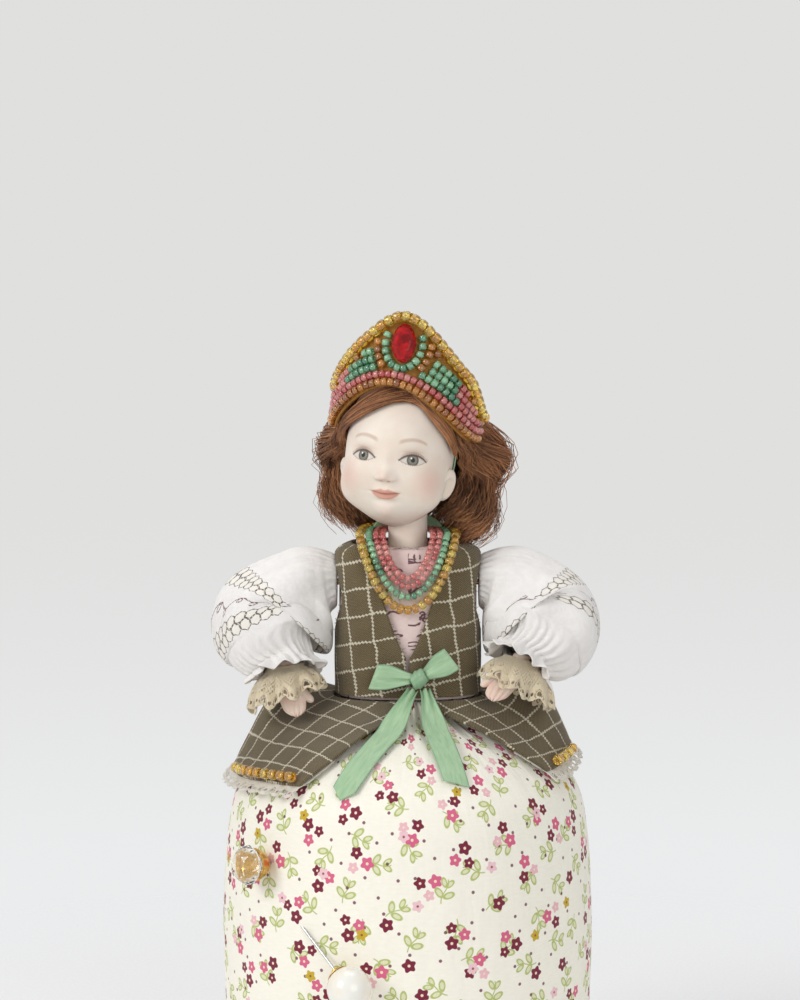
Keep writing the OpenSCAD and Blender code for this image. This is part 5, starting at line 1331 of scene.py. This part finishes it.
copper = flecked(colour(150, 88, 56), colour(206, 136, 92), 3, 0.3, 0.2, stretch=(0.05, 1, 1))
wire = finish("copper_wire", copper, Metallic=1.0)
smocked = finish("smocked_white_cotton", smocked_cotton, Roughness=0.85, Sheen_Weight=0.2, Specular_IOR_Level=0.25)
cream_lace = finish("cream_lace", lace_thread(colour(236, 208, 164), colour(255, 243, 214)), Roughness=0.9,
                    Sheen_Weight=0.2, Subsurface_Weight=0.4, Subsurface_Scale=0.001, Subsurface_Radius=(1, 1, 1))
hand_bisque = finish("plain_bisque", bare_hand, **porous)
hand_line = [(0, 2.5, 2.5), (0.3, 2.3, 2.2), (0.42, 3, 2.1), (0.58, 3.7, 2), (0.75, 3.5, 1.7), (0.9, 2.9, 1.4),
             (0.98, 1.8, 0.9), (1, 0.1, 0.1)]
for side, name, wrist, point in ((1, "left", (31.95, -12.0, 140.0), (-9.0, -8.0, -12.0)),
                                 (-1, "right", (-34.35, -10.0, 138.0), (3.5, -7.0, -14.5))):
    arm = name + "_arm"
    dress(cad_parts["shoulder_wire_" + name], wire)
    wrist, point = np.array(wrist), unit(np.array(point))
    joint = np.array((side * arm_x, 0, shoulder_z))
    elbow = np.array((side * 37.55, -3, 148.5))
    path = [joint, joint + (side * 7, -0.6, -2.2), elbow, lerp(elbow, wrist, 0.62) + (side * 1.2, 0, 0), wrist,
            wrist + 3.4 * point]
    along = np.linspace(0, 5, 150)
    spine = curve(path, along)
    way = unit(curve(path, np.minimum(5, along + 0.05)) - curve(path, np.maximum(0, along - 0.05)))
    way = unit(lerp(np.array((side, 0, 0)), way, smooth(along / 0.6)[:, None]))
    e, g = crosswise(way)
    a, u = np.meshgrid(np.linspace(-np.pi / 2, 1.5 * np.pi, 241)[:-1], along)
    tuck = 0.5 - 0.5 * np.cos(25 * a + 1.6 * np.sin(3 * a + side) + 0.8 * np.sin(2 * a))
    frill = np.sin(10 * a + 1.3 * np.sin(3 * a + side)) + 0.4 * np.sin(19 * a + side)
    slack = (0.5 * np.sin(3 * a + 1.9 * u + side) + 0.35 * np.sin(5 * a - 1.4 * u)
             + 0.3 * np.sin(2 * a + 3.1 * u - side))
    r = curve([[8], [12.87], [16.5], [13.8], [8.4], [10.6]], u)[..., 0]
    r = r * (1 - 0.035 * (1 - np.cos(6 * a)) * (0.35 + smooth(np.abs(u - 2.2) / 2)))
    r = r + slack * smooth(u / 1.2) * (1 - smooth((u - 3.4) / 0.8)) + 1.25 * frill * smooth((u - 3.9) / 1.0)
    r = r - tuck * (0.6 * (1 - smooth(u / 0.6)) + 1.3 * bell((u - 3.75) / 0.45))
    puff = spine[:, None] + (e[:, None] * np.cos(a)[..., None] + g[:, None] * np.sin(a)[..., None]) * r[..., None]
    puff = puff + point * (0.7 * np.cos(10 * a) * smooth((u - 4) / 1.0))[..., None]
    near = np.abs(puff[..., 0]) - 21.0
    press = smooth((5 - near) / 4) * smooth((u - 0.3) / 0.5) * smooth((3.4 - u) / 0.6)
    puff[..., 0] -= side * 0.75 * near * press
    k = np.linspace(0, 1, 7)[:-1, None, None]
    inset = joint + (puff[0] - joint) * lerp(0.8, 1, k ** 0.6) - np.array((side * 1.35, 0, 0)) * (1 - k)
    lengths = np.concatenate([np.linspace(-2, -0.4, 6), arc(puff, 0).mean(1)])
    laid = np.stack(np.meshgrid(np.linspace(0, sleeve_w, 241), lengths), -1)
    sleeve = sew("smocked_sleeve_" + name, np.concatenate([inset, puff]), laid, 0.4, closed=True)
    fit(sleeve, arm, "white_cotton", smocked, "sleeve_" + name, "upper_arm_" + name)
    "upper_arm_" + name

    fall = unit(point * 0.4 + np.array((0, 0.12, -1)) * 0.6)
    e, g = crosswise(fall)
    a, q = np.meshgrid(np.linspace(-np.pi / 2, 1.5 * np.pi, 561)[:-1], np.linspace(0.7, 4.2, 60))
    ruffle = np.sin(9 * a + 1.4 * np.sin(2 * a + side)) + 0.45 * np.sin(16 * a + 2 * np.sin(3 * a))
    r = curve([[4.1], [5.4], [8.2], [10.0], [11.0]], q)[..., 0] + (1.0 * ruffle - 0.3) * smooth((q - 0.8) / 3)
    out = e * np.cos(a)[..., None] + g * np.sin(a)[..., None]
    drop = (10.4 + 2.6 * side * out[..., 0]) * curve([[-0.07], [0.2], [0.42], [0.7], [1]], q)[..., 0]
    drop = drop + 0.9 * np.cos(9 * a + 1) * smooth((q - 1.5) / 2.5)
    bell_shape = wrist + fall * drop[..., None] + out * r[..., None]
    v = arc(bell_shape, 0)
    laid = np.stack([np.concatenate([a, a[:, :1] + 2 * np.pi], 1) * 13.37, np.concatenate([v, v[:, :1]], 1)], -1)
    middle = (laid[:-1, :-1] + laid[1:, 1:]) / 2
    deep = laid[-1:, :-1, 1]
    cuff = sew("lace_frill_" + name, bell_shape, laid, 0.35, closed=True,
               keep=lace_holes(middle[..., 0], middle[..., 1], deep, scallop))
    fit(cuff, arm, "cream_lace", cream_lace, "lace_cuff_" + name)
    "hand_" + name

    k, a = grid(np.linspace(0, 7, 90), np.linspace(0, 2 * np.pi, 97)[:-1])
    part, wide, deep = np.moveaxis(curve(hand_line, k), -1, 0)
    groove = sum(bell((np.cos(a) - x) / 0.11) for x in (-0.48, 0.02, 0.5)) * smooth((part - 0.62) / 0.12)
    part = part - 0.03 * groove * smooth((part - 0.8) / 0.2) - 0.04 * np.cos(a) ** 2 * smooth((part - 0.8) / 0.2)
    deep = np.maximum(deep - 0.32 * groove * (deep > 0.5), 0.05)
    palm = (wrist + point * (part * hand_l)[..., None] + e * (wide * np.cos(a))[..., None]
            + g * (deep * np.sin(a))[..., None])
    k, a = grid(np.linspace(0, 1, 30), np.linspace(0, 2 * np.pi, 33)[:-1])
    root, end = wrist + 0.4 * hand_l * point - 1.4 * side * e, wrist + 0.76 * hand_l * point - 5.4 * side * e
    thumb_way = unit(end - root)
    b, c = crosswise(thumb_way)
    r = lerp(1.6, 1.0, k) * np.sqrt(np.clip(1 - np.clip((k - 0.8) / 0.2, 0, 1) ** 2, 0.001, 1))
    thumb = lerp(root, end, k[..., None]) + (b * np.cos(a)[..., None] + c * np.sin(a)[..., None]) * r[..., None]
    hand = joined("bisque_hand_" + name, sew("palm", palm, np.zeros((90, 97, 2)), closed=True),
                  sew("thumb", thumb, np.zeros((30, 33, 2)), closed=True))
    fit(hand, arm, "bisque", hand_bisque, "hand_" + name)


# Pins. Two steel pins kept in the cushion: one is headed with a pearl, the other
# with a cut crystal glued in a gilt cup.
def pearl_skin(dye):
    spot = spot_mm(dye)
    rainbow = spot.noise(0.16, 2)
    base = rainbow.fade(0.35, 0.65).tint(colour(244, 236, 220), colour(240, 240, 232))
    return {"Base Color": base, "Roughness": 0.2 + spot.noise(1.5, 2) * 0.08}


def cut_glass(dye):
    cloud = spot_mm(dye).noise(0.8, 2)
    return {"Base Color": cloud.tint(colour(246, 243, 236), colour(255, 253, 248)), "Roughness": 0.01 + cloud * 0.02}


steel = flecked(colour(172, 172, 170), colour(214, 214, 210), 4, 0.16, 0.14)
gilding = flecked(colour(214, 164, 72), colour(240, 204, 128), 0.9, 0.2, 0.2, detail=4, low=0.35, relief=0.08)
pin_steel = finish("pin_steel", steel, Metallic=1.0)
gilt = finish("gilt_brass", gilding, Metallic=1.0)
dress(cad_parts["pearl_pin_shaft"], pin_steel)
dress(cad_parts["crystal_pin_shaft"], pin_steel)
dress(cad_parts["crystal_cup"], gilt)
pearl_way = unit(np.array((0.545, -0.615, -0.568)))
pearl_at = node_points("pearl")
pearl_at = (pearl_at.max(0) + pearl_at.min(0)) / 2


def lathe(name, line, middle, way, rounds=72):
    """A turned form from radius and height pairs along a way."""
    b, c = crosswise(way)
    a = np.linspace(0, 2 * np.pi, rounds, endpoint=False)
    r, h = np.asarray(line, float).T[:, :, None]
    spin_out = b * np.cos(a)[:, None] + c * np.sin(a)[:, None]
    points = middle + way * h[..., None] + spin_out * r[..., None]
    return sew(name, points, np.zeros((len(line), rounds + 1, 2)), closed=True)


def round_line(r, low, high, steps):
    """Part of a circle as radius and height pairs, from low to high degrees."""
    turn = np.radians(np.linspace(low, high, steps))
    return np.stack([r * np.cos(turn), r * np.sin(turn)], -1)


pearl_r = 6
nacre = finish("pearl_nacre", pearl_skin, Coat_Weight=0.8, Coat_Roughness=0.06, Sheen_Weight=0.1)
ball = lathe("pearl_bead", round_line(pearl_r, -89.5, 89.5, 60), pearl_at, pearl_way)
fit(ball, "pearl_pin", "pearl", nacre, "pearl")
cap = np.concatenate([[(0.9, -7.2), (1.2, -7.0), (1.0, -6.6)], round_line(pearl_r + 0.2, -85, -62, 12),
                      [(3.1, -5.55), (2.9, -5.4)]])
fit(lathe("pearl_gilt_cap", cap, pearl_at, pearl_way), "pearl_pin", "gilt", gilt)
crystal_way = unit(np.array((-0.83, -0.55, 0.05)))
shaft = node_points("crystal_pin_shaft")
seat = shaft.mean(0) + crystal_way * (((shaft - shaft.mean(0)) @ crystal_way).max() + 1.3)
b, c = crosswise(crystal_way)
sides = 12
a = np.arange(sides) * np.pi / 6
cut = [(0.5, 0.1, 0), (2.14, 0.5, 0), (4.2, 2.4, 0.262), (5.5, 3.9, 0), (5.5, 4.5, 0), (4.6, 6.1, 0.262),
       (3.3, 7.4, 0)]
rings = np.concatenate([seat + crystal_way * h + (b * np.cos(a + s)[:, None] + c * np.sin(a + s)[:, None]) * r
                        for r, h, s in cut])
faces = []
for i, (lower, upper) in enumerate(zip(cut, cut[1:])):
    for j in range(sides):
        p, q = i * sides + j, i * sides + (j + 1) % sides
        s, t = q + sides, p + sides
        faces += [[p, q, t], [q, s, t]] if upper[2] > lower[2] else [[p, q, s], [p, s, t]]
fit(faceted("cut_crystal", rings, sides, faces), "crystal_pin", "clear_glass",
    finish("cut_glass", cut_glass, Transmission_Weight=1.0, IOR=1.6), "crystal")
